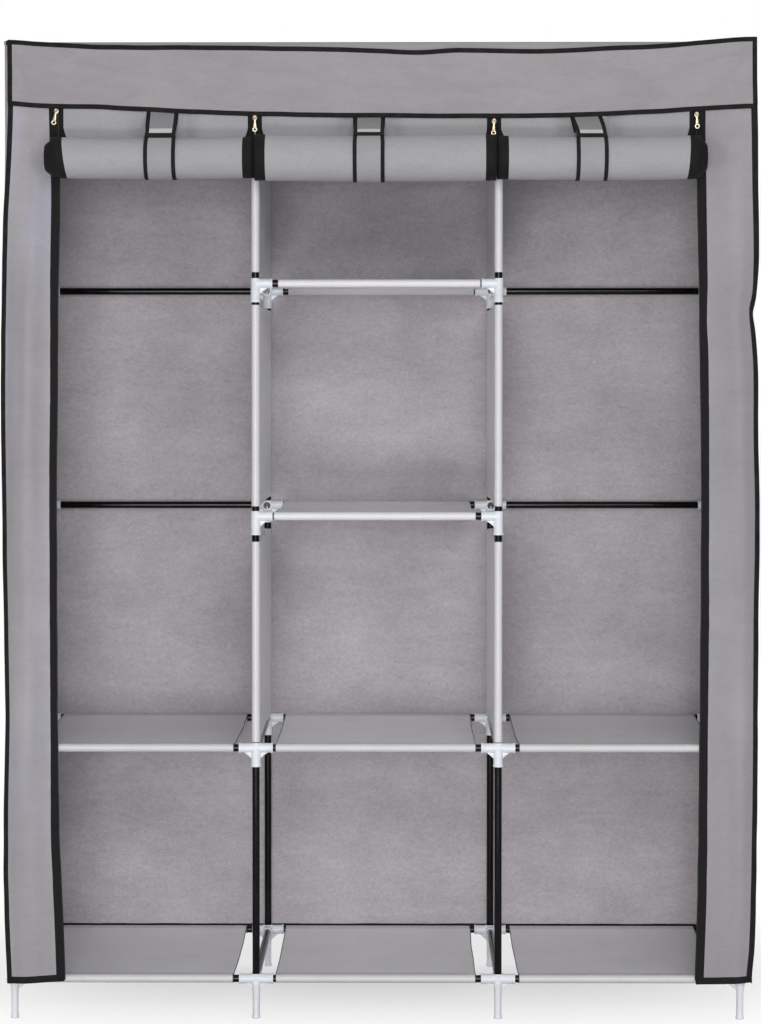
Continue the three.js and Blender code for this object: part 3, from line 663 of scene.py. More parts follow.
@dataclass(frozen=True)
class ZipMetal(Finish):
    """Pale brass, polished, with brushed marks from handling."""

    tone: Colour = (0.47, 0.405, 0.30)
    brush_scale: float = 240.0
    spot_scale: float = 300.0

    def paint(self, recipe: Recipe) -> None:
        """Puts the finish's nodes into a recipe.

        Args:
            recipe: the material's nodes.
        """
        brushed = recipe.noise(recipe.coordinates("Object", (14, 14, 1)), self.brush_scale, 4)
        spots = recipe.noise(recipe.coordinates("Object"), self.spot_scale, 3)
        recipe.tint(self.tone, recipe.ranged(spots, 0.35, 0.7, 0.85, 1.1))
        recipe.feed(recipe.shader, {"Roughness": recipe.mottled(brushed, 0.26, 0.44)})
        recipe.relief((brushed, 0.08, 0.0002))
        recipe.surface(Metallic=1.0)


@dataclass(frozen=True)
class StudioPaper(Finish):
    """The pale floor: the camera sees it washed out to near white, with a faint shadow left."""

    tone: Colour = (0.60, 0.60, 0.61)
    wash: float = 0.35
    glow: float = 1.46
    near: float = 0.20
    far: float = 0.95
    patch: float = 0.35
    patch_narrowing: float = 0.35

    def paint(self, recipe: Recipe) -> None:
        """Puts the finish's nodes into a recipe.

        Args:
            recipe: the material's nodes.
        """
        solid = recipe.coordinates("Object")
        recipe.tint(self.tone, recipe.mottled(recipe.noise(solid, 3, 2), 0.995, 1.005))
        recipe.surface(Roughness=0.9, Specular_IOR_Level=0.1)
        shadow = {"Location": (0.0, -self.patch, 0.0), "Scale": (self.patch_narrowing, 1.0, 1.0)}
        place = recipe.add("ShaderNodeMapping", {"Vector": solid, **shadow}), "Vector"
        away = recipe.add("ShaderNodeVectorMath", {0: place}, operation="LENGTH"), "Value"
        strength = recipe.ranged(away, self.near, self.far, self.glow, 1.0)
        glow = recipe.add("ShaderNodeEmission", {"Color": (*WHITE, 1), "Strength": strength})
        wash = recipe.ranged(away, self.near, self.far, self.wash, 1.0)
        path = recipe.add("ShaderNodeLightPath", {})
        share = recipe.math("MULTIPLY", (path, "Is Camera Ray"), wash)
        shaders = {"Fac": share, 1: (recipe.shader, "BSDF"), 2: (glow, "Emission")}
        mixed = recipe.add("ShaderNodeMixShader", shaders)
        recipe.feed(recipe.output, {"Surface": (mixed, "Shader")})


COVER = FeltedCloth("cover_cloth")
# The back's inner face: the cover's cloth, more mottled, and painted much lighter to stand in for light in
# the shaded inside of the wardrobe.
BACKING_PAINTED_LIGHT = FeltedCloth(
    "backing_painted_light_cloth", tone=(0.455, 0.427, 0.452), cloud=0.105, wisp=0.055, matting=0.12, fleck=0.15
)
# The left flap's cloth: the right flap's tone painted about 8% lighter, a painted light where this flap
# catches more light, with painted fold shade in vertical bands and painted sheen in pale lavender patches.
FLAP_PAINTED_LIGHT = FeltedCloth(
    "flap_painted_light_cloth", tone=(0.364, 0.348, 0.370), cloud=0.06, wisp=0.03, painted_fold_shade=0.12, painted_sheen=(1.05, 1.06, 1.15)
)
# The right flap's cloth, with painted fold shade in long vertical bands.
FLAP_PLAIN = FeltedCloth("flap_plain_cloth", tone=(0.336, 0.320, 0.340), cloud=0.06, wisp=0.03, painted_fold_shade=0.08)
ROLLED = FeltedCloth("door_cloth", tone=(0.375, 0.366, 0.383), cloud=0.03, wisp=0.03, sheen=0.1)
STRAP = FeltedCloth("strap_cloth", tone=(0.34, 0.332, 0.348), cloud=0.02, wisp=0.02)
TAB = FeltedCloth("tab_cloth", tone=(0.285, 0.277, 0.292), cloud=0.02, wisp=0.02)
SHELVING = SleeveCloth("shelf_cloth", tone=(0.88, 0.875, 0.89), over_tube=0.88)
# The lowest two levels' shelves: the same cloth, their sleeves painted darker as painted shade where the
# light falls off towards the bottom.
LOW_SHELVING_SHADED = SleeveCloth("low_shelf_shaded_cloth", tone=(0.89, 0.885, 0.90), over_tube=0.74)
# The dividers: the shelves' cloth painted darker, a painted shade for their webs that face sideways, away
# from the frontal light.
DIVIDING_SHADED = SleeveCloth("divider_shaded_cloth", tone=(0.76, 0.755, 0.77), over_tube=0.92)
HEM = SleeveCloth("hem_cloth", tone=(0.060, 0.058, 0.060))
TAPE = BindingTape("binding_tape")
ZIPTAPE = ZipTape("zip_tape")
COIL = CoilThread("zip_coil")
PILE = LoopPile("hook_strip")
ENAMEL = TubeEnamel("tube_enamel")
RESIN = MouldedResin("moulded_resin")
BRASS = ZipMetal("zip_metal")
PAPER = StudioPaper("studio_floor")


# ---- making pieces


def put(
    name: str, mesh: Mesh, finishes: Sequence[Finish], body: str, replaces: Iterable[str] = ()
) -> bpy.types.Object:
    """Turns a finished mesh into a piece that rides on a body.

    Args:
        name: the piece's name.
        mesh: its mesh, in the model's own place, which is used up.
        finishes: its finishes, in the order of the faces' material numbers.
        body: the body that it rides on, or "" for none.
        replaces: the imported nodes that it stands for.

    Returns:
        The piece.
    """
    data = bpy.data.meshes.new(name)
    mesh.to_mesh(data)
    mesh.free()
    piece = bpy.data.objects.new(name, data)
    bpy.context.scene.collection.objects.link(piece)
    for finish in finishes:
        data.materials.append(finish.material())
    if body:
        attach(piece, body)
    if replaces:
        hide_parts(*replaces)
    LOG.info("%s: %d faces on %s", name, len(data.polygons), body or "two bodies")
    return piece


def thicken(piece: bpy.types.Object, thickness: float) -> None:
    """Gives an open sheet its thickness, half of it on each side."""
    layer = piece.modifiers.new("cloth", "SOLIDIFY")
    layer.thickness, layer.offset, layer.use_even_offset = thickness, 0.0, False


def mark_faces(mesh: Mesh, finish_at: Callable[[Vector], int]) -> None:
    """Gives each face the finish that a rule picks for its middle on the flat cloth.

    Args:
        mesh: the laid sheet, which is changed.
        finish_at: the rule, from a place in metres to the finish's number.
    """
    layer = mesh.loops.layers.uv["UVMap"]
    for face in mesh.faces:
        corners = sum((loop[layer].uv for loop in face.loops), Vector((0, 0)))
        face.material_index = int(finish_at(corners / len(face.loops)))


@dataclass
class Sheet:
    """A sheet of cloth cut as a grid and laid through a rule of place."""

    columns: int
    rows: int
    flat: tuple[float, float]
    outward: Vector
    place: Place
    spread: Callable[[float], float] = lambda share: share
    centred: bool = False

    def mesh(self) -> Mesh:
        """Cuts and lays the sheet.

        Returns:
            The laid sheet, its faces towards outward, its UV map in metres of flat cloth.
        """
        mesh = bmesh.new()
        bmesh.ops.create_grid(mesh, x_segments=self.columns, y_segments=self.rows, size=0.5)
        layer = mesh.loops.layers.uv.new("UVMap")
        shares = {v: (self.spread(v.co.x + 0.5), v.co.y + 0.5) for v in mesh.verts}
        origin = 0.5 if self.centred else 0.0
        for face in mesh.faces:
            face.smooth = True
            for loop in face.loops:
                u, v = shares[loop.vert]
                loop[layer].uv = (u * self.flat[0], (v - origin) * self.flat[1])
        for vertex, (u, v) in shares.items():
            vertex.co = self.place(u, v)
        mesh.normal_update()
        facing = sum((face.normal.dot(self.outward) * face.calc_area() for face in mesh.faces), 0.0)
        if facing < 0:
            bmesh.ops.reverse_faces(mesh, faces=mesh.faces[:])
        return mesh

    def edge(self, from_share: Vector, to_share: Vector, inward: Vector, count: int) -> list:
        """Stations along a line of the sheet, for a tape.

        Args:
            from_share: (u, v) of the line's start.
            to_share: (u, v) of its end.
            inward: (u, v) step that leads into the sheet.
            count: how many stations.

        Returns:
            (point, direction into the sheet, normal) at each station.
        """
        stations = []
        for number in range(count):
            at = from_share.lerp(to_share, number / (count - 1))
            inner = at + inward
            point, within = self.place(at.x, at.y), self.place(inner.x, inner.y)
            into = (within - point).normalized()
            stations.append((point, into))
        return [
            (point, into, self._across(stations, index, into))
            for index, (point, into) in enumerate(stations)
        ]

    def _across(self, stations: list, index: int, into: Vector) -> Vector:
        """The direction square to the sheet at a station.

        Args:
            stations: (point, direction into the sheet) along the line.
            index: the station's number.
            into: the direction into the sheet there.

        Returns:
            The direction, towards outward.
        """
        before, after = stations[max(0, index - 1)][0], stations[min(len(stations) - 1, index + 1)][0]
        normal = (after - before).cross(into).normalized()
        return -normal if normal.dot(self.outward) < 0 else normal


@dataclass
class Ribbon:
    """A binding tape folded over an edge: a flat oval band swept along it."""

    width: float
    thickness: float
    overhang: float = 0.001
    sides: int = 14
    pucker: float = 0.10
    waver: float = 0.0006

    def along(self, stations: list) -> Mesh:
        """Sweeps the tape along an edge.

        Args:
            stations: (point, direction into the cloth, normal) along the edge.

        Returns:
            The tape's closed mesh, its UV map in metres.
        """
        trail = Trail([station[0] for station in stations])
        angles = [2 * pi * number / self.sides for number in range(self.sides + 1)]
        shape = [(bulged(cos(angle), 0.55), bulged(sin(angle), 0.8)) for angle in angles]

        def place(u: float, v: float) -> Vector:
            """Where a point of the band lies.

            Args:
                u: the share of its length.
                v: the share of the way round it.

            Returns:
                The place.
            """
            point, into, normal = stations[round(u * (len(stations) - 1))]
            wide, thick = shape[round(v * self.sides)]
            mark = u * trail.length
            pucker = 1 + self.pucker * noise.noise(Vector((mark * 55, wide * 0.6, 3.1)))
            shift = self.waver * noise.noise(Vector((mark * 18, 7.7, 0)))
            centre = point + into * (self.width / 2 - self.overhang + shift)
            return centre + into * (wide * self.width / 2) + normal * (thick * self.thickness / 2 * pucker)

        flat = (trail.length, 2 * self.width)
        mesh = Sheet(len(stations) - 1, self.sides, flat, stations[0][2], place).mesh()
        bmesh.ops.remove_doubles(mesh, verts=mesh.verts[:], dist=1e-6)
        rims = [edge for edge in mesh.edges if edge.is_boundary]
        bmesh.ops.holes_fill(mesh, edges=rims, sides=0)
        bmesh.ops.recalc_face_normals(mesh, faces=mesh.faces[:])
        return mesh


def joined(meshes: Iterable[Mesh]) -> Mesh:
    """Puts several meshes together.

    Args:
        meshes: the meshes, each used up.

    Returns:
        One mesh that holds them all.
    """
    whole = bmesh.new()
    whole.loops.layers.uv.new("UVMap")
    for mesh in meshes:
        data = bpy.data.meshes.new("part")
        mesh.to_mesh(data)
        mesh.free()
        whole.from_mesh(data)
        bpy.data.meshes.remove(data)
    return whole


def turned_to(direction: Vector, start: Vector) -> Matrix:
    """The matrix that carries +Z to a direction and the origin to a start."""
    return Matrix.Translation(start) @ direction.to_track_quat("Z", "Y").to_matrix().to_4x4()


def lathe(profile: Sequence[tuple[float, float]], steps: int, direction: Vector, start: Vector) -> Mesh:
    """A turned shape: a profile spun round its axis.

    Args:
        profile: (radius, distance along the axis) from one end on the axis to the other.
        steps: how many sides it gets.
        direction: the axis.
        start: where distance 0 lies.

    Returns:
        The closed mesh, with sharp edges marked where the profile turns hard.
    """
    mesh = bmesh.new()
    corners = [mesh.verts.new((radius, 0, along)) for radius, along in profile]
    line = [mesh.edges.new(pair) for pair in zip(corners, corners[1:])]
    bmesh.ops.spin(
        mesh, geom=corners + line, cent=(0, 0, 0), axis=(0, 0, 1), angle=2 * pi, steps=steps, use_merge=True
    )
    bmesh.ops.remove_doubles(mesh, verts=mesh.verts[:], dist=1e-6)
    bmesh.ops.recalc_face_normals(mesh, faces=mesh.faces[:])
    soften(mesh, 0.6)
    bmesh.ops.transform(mesh, matrix=turned_to(direction, start), verts=mesh.verts[:])
    return mesh


def soften(mesh: Mesh, limit: float) -> None:
    """Shades a mesh smooth, kept sharp where its faces meet at an angle.

    Args:
        mesh: the mesh, which is changed.
        limit: the angle in radians from which an edge stays sharp.
    """
    for face in mesh.faces:
        face.smooth = True
    for edge in mesh.edges:
        edge.smooth = len(edge.link_faces) == 2 and edge.calc_face_angle(0.0) < limit


def ease(mesh: Mesh, edges: list, radius: float) -> None:
    """Rounds some of a mesh's edges and shades it."""
    bmesh.ops.bevel(mesh, geom=edges, offset=radius, affect="EDGES", segments=2, profile=0.5, material=-1)
    soften(mesh, 0.9)


def rod(start: Vector, end: Vector, radius: float, sides: int = 24, rim: float = 0.0005) -> Mesh:
    """A round rod between two points, with its end rims eased.

    Args:
        start: the middle of one end.
        end: the middle of the other.
        radius: its radius.
        sides: how many sides it gets.
        rim: how much of each end is eased.

    Returns:
        The closed mesh.
    """
    length = (end - start).length
    near = [(0, 0), (radius - rim, 0), (radius, rim)]
    far = [(radius, length - rim), (radius - rim, length), (0, length)]
    return lathe(near + far, sides, (end - start).normalized(), start)


def slab(size: Vector, centre: Vector, edge: float) -> Mesh:
    """A block with rounded edges.

    Args:
        size: its width, depth and height.
        centre: where its middle lies.
        edge: the radius of its edges.

    Returns:
        The closed mesh.
    """
    mesh = bmesh.new()
    bmesh.ops.create_cube(mesh, size=1.0, matrix=Matrix.Translation(centre) @ Matrix.Diagonal((*size, 1)))
    ease(mesh, mesh.edges[:], edge)
    return mesh


def thickened(mesh: Mesh, step: Vector, hard: float, edge: float) -> Mesh:
    """Gives a flat mesh its thickness and eases its rims.

    Args:
        mesh: the flat mesh, which is changed.
        step: the step from one face to the other.
        hard: the angle in radians from which a rim is eased.
        edge: the radius of the eased rims.

    Returns:
        The same mesh, closed.
    """
    grown = bmesh.ops.extrude_face_region(mesh, geom=mesh.faces[:])["geom"]
    moved = [part for part in grown if isinstance(part, bmesh.types.BMVert)]
    bmesh.ops.translate(mesh, vec=step, verts=moved)
    bmesh.ops.recalc_face_normals(mesh, faces=mesh.faces[:])
    rims = [rim for rim in mesh.edges if rim.calc_face_angle(0.0) > hard]
    ease(mesh, rims, edge)
    return mesh


def plate(outline: Sequence[Vector], thickness: Vector, edge: float) -> Mesh:
    """A flat plate cut to an outline, with eased edges.

    Args:
        outline: its corners, in order.
        thickness: the step from one face to the other.
        edge: the radius of its rims.

    Returns:
        The closed mesh.
    """
    mesh = bmesh.new()
    mesh.faces.new([mesh.verts.new(point) for point in outline])
    return thickened(mesh, thickness, 0.7, edge)


def ring(centre: Vector, outer: float, inner: float, thickness: Vector) -> Mesh:
    """A flat ring that faces -Y, with eased rims.

    Args:
        centre: the middle of its front face.
        outer: its outer radius.
        inner: the radius of its hole.
        thickness: the step from its front to its back.

    Returns:
        The closed mesh.
    """
    mesh = bmesh.new()
    facing = Matrix.Translation(centre) @ Matrix.Rotation(pi / 2, 4, "X")
    rims = []
    for radius in (inner, outer):
        made = bmesh.ops.create_circle(mesh, cap_ends=False, segments=24, radius=radius, matrix=facing)
        rims += {edge for vertex in made["verts"] for edge in vertex.link_edges}
    bmesh.ops.bridge_loops(mesh, edges=list(set(rims)))
    return thickened(mesh, thickness, 0.9, 0.0002)


# ---- the frame


class Foot(Enum):
    """How a connector ends below and above."""

    LEG = "leg"
    THROUGH = "through"
    CAP = "cap"


@dataclass
class Connector:
    """A moulded connector: an upright barrel, arms with lipped mouths, and webs under them."""

    centre: Vector
    arms: tuple[Vector, ...]
    foot: Foot
    sides: int = 28
    lip: float = 0.0034
    slack: float = 0.0002
    stop: float = 0.010
    web: float = 0.0028
    web_run: float = 0.0130
    web_drop: float = 0.0105
    web_top: float = 0.002
    web_hollow: float = 0.0004
    web_edge: float = 0.0005
    rib: float = 0.00055
    rib_up: float = 0.0028
    rib_start: float = 0.009
    rib_run: float = 0.0165
    pad: tuple[tuple[float, float], ...] = (
        (0.0062, 0.0), (0.0073, 0.0011), (0.0073, 0.0036), (0.0067, 0.0052), (0.0062, 0.0080),
    )
    flare: tuple[float, float] = (-0.036, -0.0085)

    @property
    def bore(self) -> float:
        """The radius of a socket's bore."""
        return PLAN.tube + self.slack

    def meshes(self) -> list[Mesh]:
        """Makes the connector.

        Returns:
            Its closed shells.
        """
        shells = [self._leg() if self.foot is Foot.LEG else self._barrel()]
        for direction in self.arms:
            shells += [self._arm(direction), self._web(direction), *self._ribs(direction)]
        return shells

    def _arm(self, direction: Vector) -> Mesh:
        """One arm: a socket with a thickened lip round its open mouth.

        Args:
            direction: the way it points.

        Returns:
            The closed shell.
        """
        radius, mouth, bore, reach = PLAN.socket, PLAN.mouth, self.bore, PLAN.arm
        outside = [
            (0, 0.0), (radius, 0.0), (radius, reach - self.lip - 0.0008), (mouth, reach - self.lip),
            (mouth + 0.0001, reach - 0.0006), (mouth - 0.0005, reach),
        ]
        inside = [(bore + 0.0004, reach), (bore, reach - 0.0005), (bore, self.stop), (0, self.stop)]
        return lathe(outside + inside, self.sides, direction, self.centre)

    def _web(self, direction: Vector) -> Mesh:
        """The gusset under an arm, its long edge barely hollow.

        Args:
            direction: the way the arm points.

        Returns:
            The closed plate.
        """
        radius = PLAN.socket
        low, run = -radius - self.web_drop, radius + self.web_run
        corners = [(0.0, -self.web_top), (run, -self.web_top), (run, -radius + 0.0012)]
        for share in (0.0, 0.5, 1.0):
            hollow = self.web_hollow * sin(pi * share)
            out = between(run, radius - 0.0005, share) - hollow
            corners.append((out, between(-radius + 0.0004, low, share) + hollow))
        corners.append((0.0, low))
        across = direction.cross(Z) * self.web
        outline = [self.centre + direction * out + Z * up - across / 2 for out, up in corners]
        return plate(outline, across, self.web_edge)

    def _ribs(self, direction: Vector) -> list[Mesh]:
        """Two thin moulded ribs on each flank of an arm, one above the other.

        Args:
            direction: the way the arm points.

        Returns:
            The four closed rods.
        """
        ribs = []
        across = direction.cross(Z)
        for flank in (-1, 1):
            for up in (-self.rib_up, self.rib_up):
                out = (PLAN.socket**2 - up**2) ** 0.5
                start = self.centre + across * (flank * out) + Z * up + direction * self.rib_start
                ribs.append(rod(start, start + direction * self.rib_run, self.rib, 8, 0.0002))
        return ribs

    def _leg(self) -> Mesh:
        """The leg with its foot pad, which flares into the socket that takes an upright.

        Returns:
            The closed shell.
        """
        radius, mouth, bore, top = PLAN.socket, PLAN.mouth, self.bore, PLAN.mouth
        slim = self.pad[0][0]
        profile = [(0, -PLAN.leg), *((out, up - PLAN.leg) for out, up in self.pad)]
        for share in (0.0, 0.15, 0.3, 0.45, 0.6, 0.75, 0.9, 1.0):
            out = slim + share**3 * (radius + 0.0004 - slim)
            profile.append((out, between(*self.flare, share)))
        profile += [(radius, -0.006), (radius, top - 0.0016), (mouth - 0.0002, top - 0.0010)]
        profile += [(mouth - 0.0004, top), (bore + 0.0003, top), (bore, top - 0.0004)]
        profile += [(bore, -self.stop), (0, -self.stop)]
        return lathe(profile, self.sides, Z, self.centre)

    def _barrel(self) -> Mesh:
        """The upright barrel, lipped below, and open or capped above.

        Returns:
            The closed shell.
        """
        radius, mouth, bore, top, low = PLAN.socket, PLAN.mouth, self.bore, PLAN.mouth, -PLAN.drop
        profile = [(0, low + 0.012), (bore, low + 0.012), (bore, low + 0.0004), (bore + 0.0004, low)]
        profile += [(mouth - 0.0005, low), (mouth, low + 0.0006), (mouth, low + self.lip)]
        profile += [(radius + 0.0001, low + self.lip + 0.0012)]
        profile += [(radius, top - 0.0016), (radius - 0.0006, top - 0.0002)]
        if self.foot is Foot.CAP:
            profile += [(radius - 0.0014, top), (0, top + 0.0002)]
        else:
            profile += [(radius - 0.0010, top), (bore + 0.0002, top), (bore, top - 0.0004)]
            profile += [(bore, top - 0.006), (0, top - 0.006)]
        return lathe(profile, self.sides, Z, self.centre)


def spanning(centre: Vector, direction: Vector, distance: float) -> Mesh:
    """A tube between two connectors' sockets.

    Args:
        centre: the middle of the first connector.
        direction: the way to the second one.
        distance: how far apart they are.

    Returns:
        The closed rod.
    """
    start = centre + direction * PLAN.seat
    return rod(start, start + direction * (distance - 2 * PLAN.seat), PLAN.tube)


@dataclass
class SteelFrame:
    """The tubes and connectors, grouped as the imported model's nodes are."""

    joint_gap: float = 0.001
    head_gap: float = 0.004
    plug: tuple[float, float] = (0.0102, 0.0112)
    rail_seat: float = 0.0090
    clip_slack: float = 0.0003
    clip_wall: float = 0.0020
    clip_half: float = 0.009
    clip_opening: float = 52.0

    def build(self) -> None:
        """Makes every ring, ladder, bar and rail."""
        self._ring(1, "base_frame", Foot.LEG)
        self._ring(5, "top_frame", Foot.CAP)
        for column, name in enumerate(COLUMNS):
            self._ladder(column, f"ladder_{name}")
        self._bars()
        for bay in (0, 2):
            self._rail(bay, f"hanging_rail_{BAYS[bay]}")

    def _put(self, node: str, tubes: list, moulded: list) -> None:
        """Joins a node's tubes, and its connectors, and lets each stand for the node."""
        put(f"{node}_tubes", joined(tubes), [ENAMEL], "frame", [node])
        put(f"{node}_connectors", joined(moulded), [RESIN], "frame", [node])

    def _ring(self, level: int, node: str, foot: Foot) -> None:
        """The lowest or highest rectangle of bars, depth tubes and connectors.

        Args:
            level: its level.
            node: its node.
            foot: how its connectors end.
        """
        height = PLAN.level(level)
        tubes, moulded = [], []
        for y, inward in ((PLAN.front, Y), (PLAN.rear, -Y)):
            for column in range(len(COLUMNS)):
                centre = Vector((PLAN.column(column), y, height))
                sides = [side for side, there in ((-X, column > 0), (X, column < 3)) if there]
                moulded += Connector(centre, (*sides, inward), foot).meshes()
                if column < 3:
                    tubes.append(spanning(centre, X, PLAN.bay))
        for column in range(len(COLUMNS)):
            corner = Vector((PLAN.column(column), PLAN.front, height))
            tubes.append(spanning(corner, Y, 2 * PLAN.half_depth))
        self._put(node, tubes, moulded)

    def _ladder(self, column: int, node: str) -> None:
        """One column's uprights, middle connectors and rungs.

        Args:
            column: the column, counted from the left.
            node: its node.
        """
        x = PLAN.column(column)
        tubes, moulded = [], []
        outer = column in (0, 3)
        to_centre = X if column < 2 else -X
        for y, inward in ((PLAN.front, Y), (PLAN.rear, -Y)):
            for low in (1, 2, 3, 4):
                foot = Vector((x, y, PLAN.level(low) - (PLAN.seat if low == 1 else -self.joint_gap)))
                tubes.append(rod(foot, Vector((x, y, PLAN.level(low + 1) - self.head_gap)), PLAN.tube))
            for level in (2, 3, 4):
                arms = [inward]
                if not (outer and y == PLAN.front and level > 2):
                    arms.append(to_centre)
                if not outer and (y == PLAN.rear or level == 2):
                    arms.append(-to_centre)
                centre = Vector((x, y, PLAN.level(level)))
                moulded += Connector(centre, tuple(arms), Foot.THROUGH).meshes()
                if not outer and level > 2:
                    start, end = (centre + inward * reach for reach in self.plug)
                    tubes.append(rod(start, end, PLAN.tube, 20, 0.0001))
        for level in (2, 3, 4):
            if outer or level == 2:
                tubes.append(spanning(Vector((x, PLAN.front, PLAN.level(level))), Y, 2 * PLAN.half_depth))
        self._put(node, tubes, moulded)

    def _bars(self) -> None:
        """The loose bars between neighbouring columns."""
        for level in (2, 3, 4):
            for bay, name in enumerate(BAYS):
                for row, y in (("front", PLAN.front), ("rear", PLAN.rear)):
                    if row == "front" and level > 2 and name != "centre":
                        continue
                    node = f"{row}_bar_{name}_level_{level}"
                    mesh = spanning(Vector((PLAN.column(bay), y, PLAN.level(level))), X, PLAN.bay)
                    put(f"{node}_tube", mesh, [ENAMEL], "frame", [node])

    def _rail(self, bay: int, node: str) -> None:
        """A hanging rail with a snap clip at each end.

        Args:
            bay: the bay that it crosses, counted from the left.
            node: its node.
        """
        left = Vector((PLAN.column(bay), PLAN.middle, PLAN.level(5)))
        tube = rod(left + X * self.rail_seat, left + X * (PLAN.bay - self.rail_seat), PLAN.tube)
        put(f"{node}_tube", tube, [ENAMEL], "frame", [node])
        radius, bore = PLAN.socket, PLAN.tube + 0.0002
        profile = [(0, 0.0088), (radius, 0.0088), (radius, 0.0250), (radius - 0.0006, 0.0260)]
        profile += [(PLAN.tube + 0.0005, 0.0260), (bore, 0.0256), (bore, 0.0130), (0, 0.0130)]
        parts = []
        for centre, direction in ((left, X), (left + X * PLAN.bay, -X)):
            parts += [lathe(profile, 28, direction, centre), self._clip(centre)]
        put(f"{node}_clips", joined(parts), [RESIN], "frame", [node])

    def _clip(self, centre: Vector) -> Mesh:
        """A C-shaped clip, open below, round a depth tube.

        Args:
            centre: its middle, on the tube's axis.

        Returns:
            The closed mesh.
        """
        mesh = bmesh.new()
        inner, half = PLAN.tube + self.clip_slack, self.clip_half
        outer = inner + self.clip_wall
        section = [(inner, -half), (outer, -half), (outer, half), (inner, half)]
        mesh.faces.new([mesh.verts.new((radius, along, 0)) for radius, along in section])
        opening = radians(self.clip_opening)
        start = Matrix.Rotation(pi / 2 - opening, 4, "Y")
        bmesh.ops.transform(mesh, matrix=start, verts=mesh.verts[:])
        bmesh.ops.spin(
            mesh, geom=mesh.faces[:] + mesh.edges[:] + mesh.verts[:], cent=(0, 0, 0), axis=(0, 1, 0),
            angle=-(2 * pi - 2 * opening), steps=26, use_merge=False,
        )
        bmesh.ops.recalc_face_normals(mesh, faces=mesh.faces[:])
        soften(mesh, 0.9)
        bmesh.ops.translate(mesh, vec=centre, verts=mesh.verts[:])
        return mesh


# ---- shelves and dividers


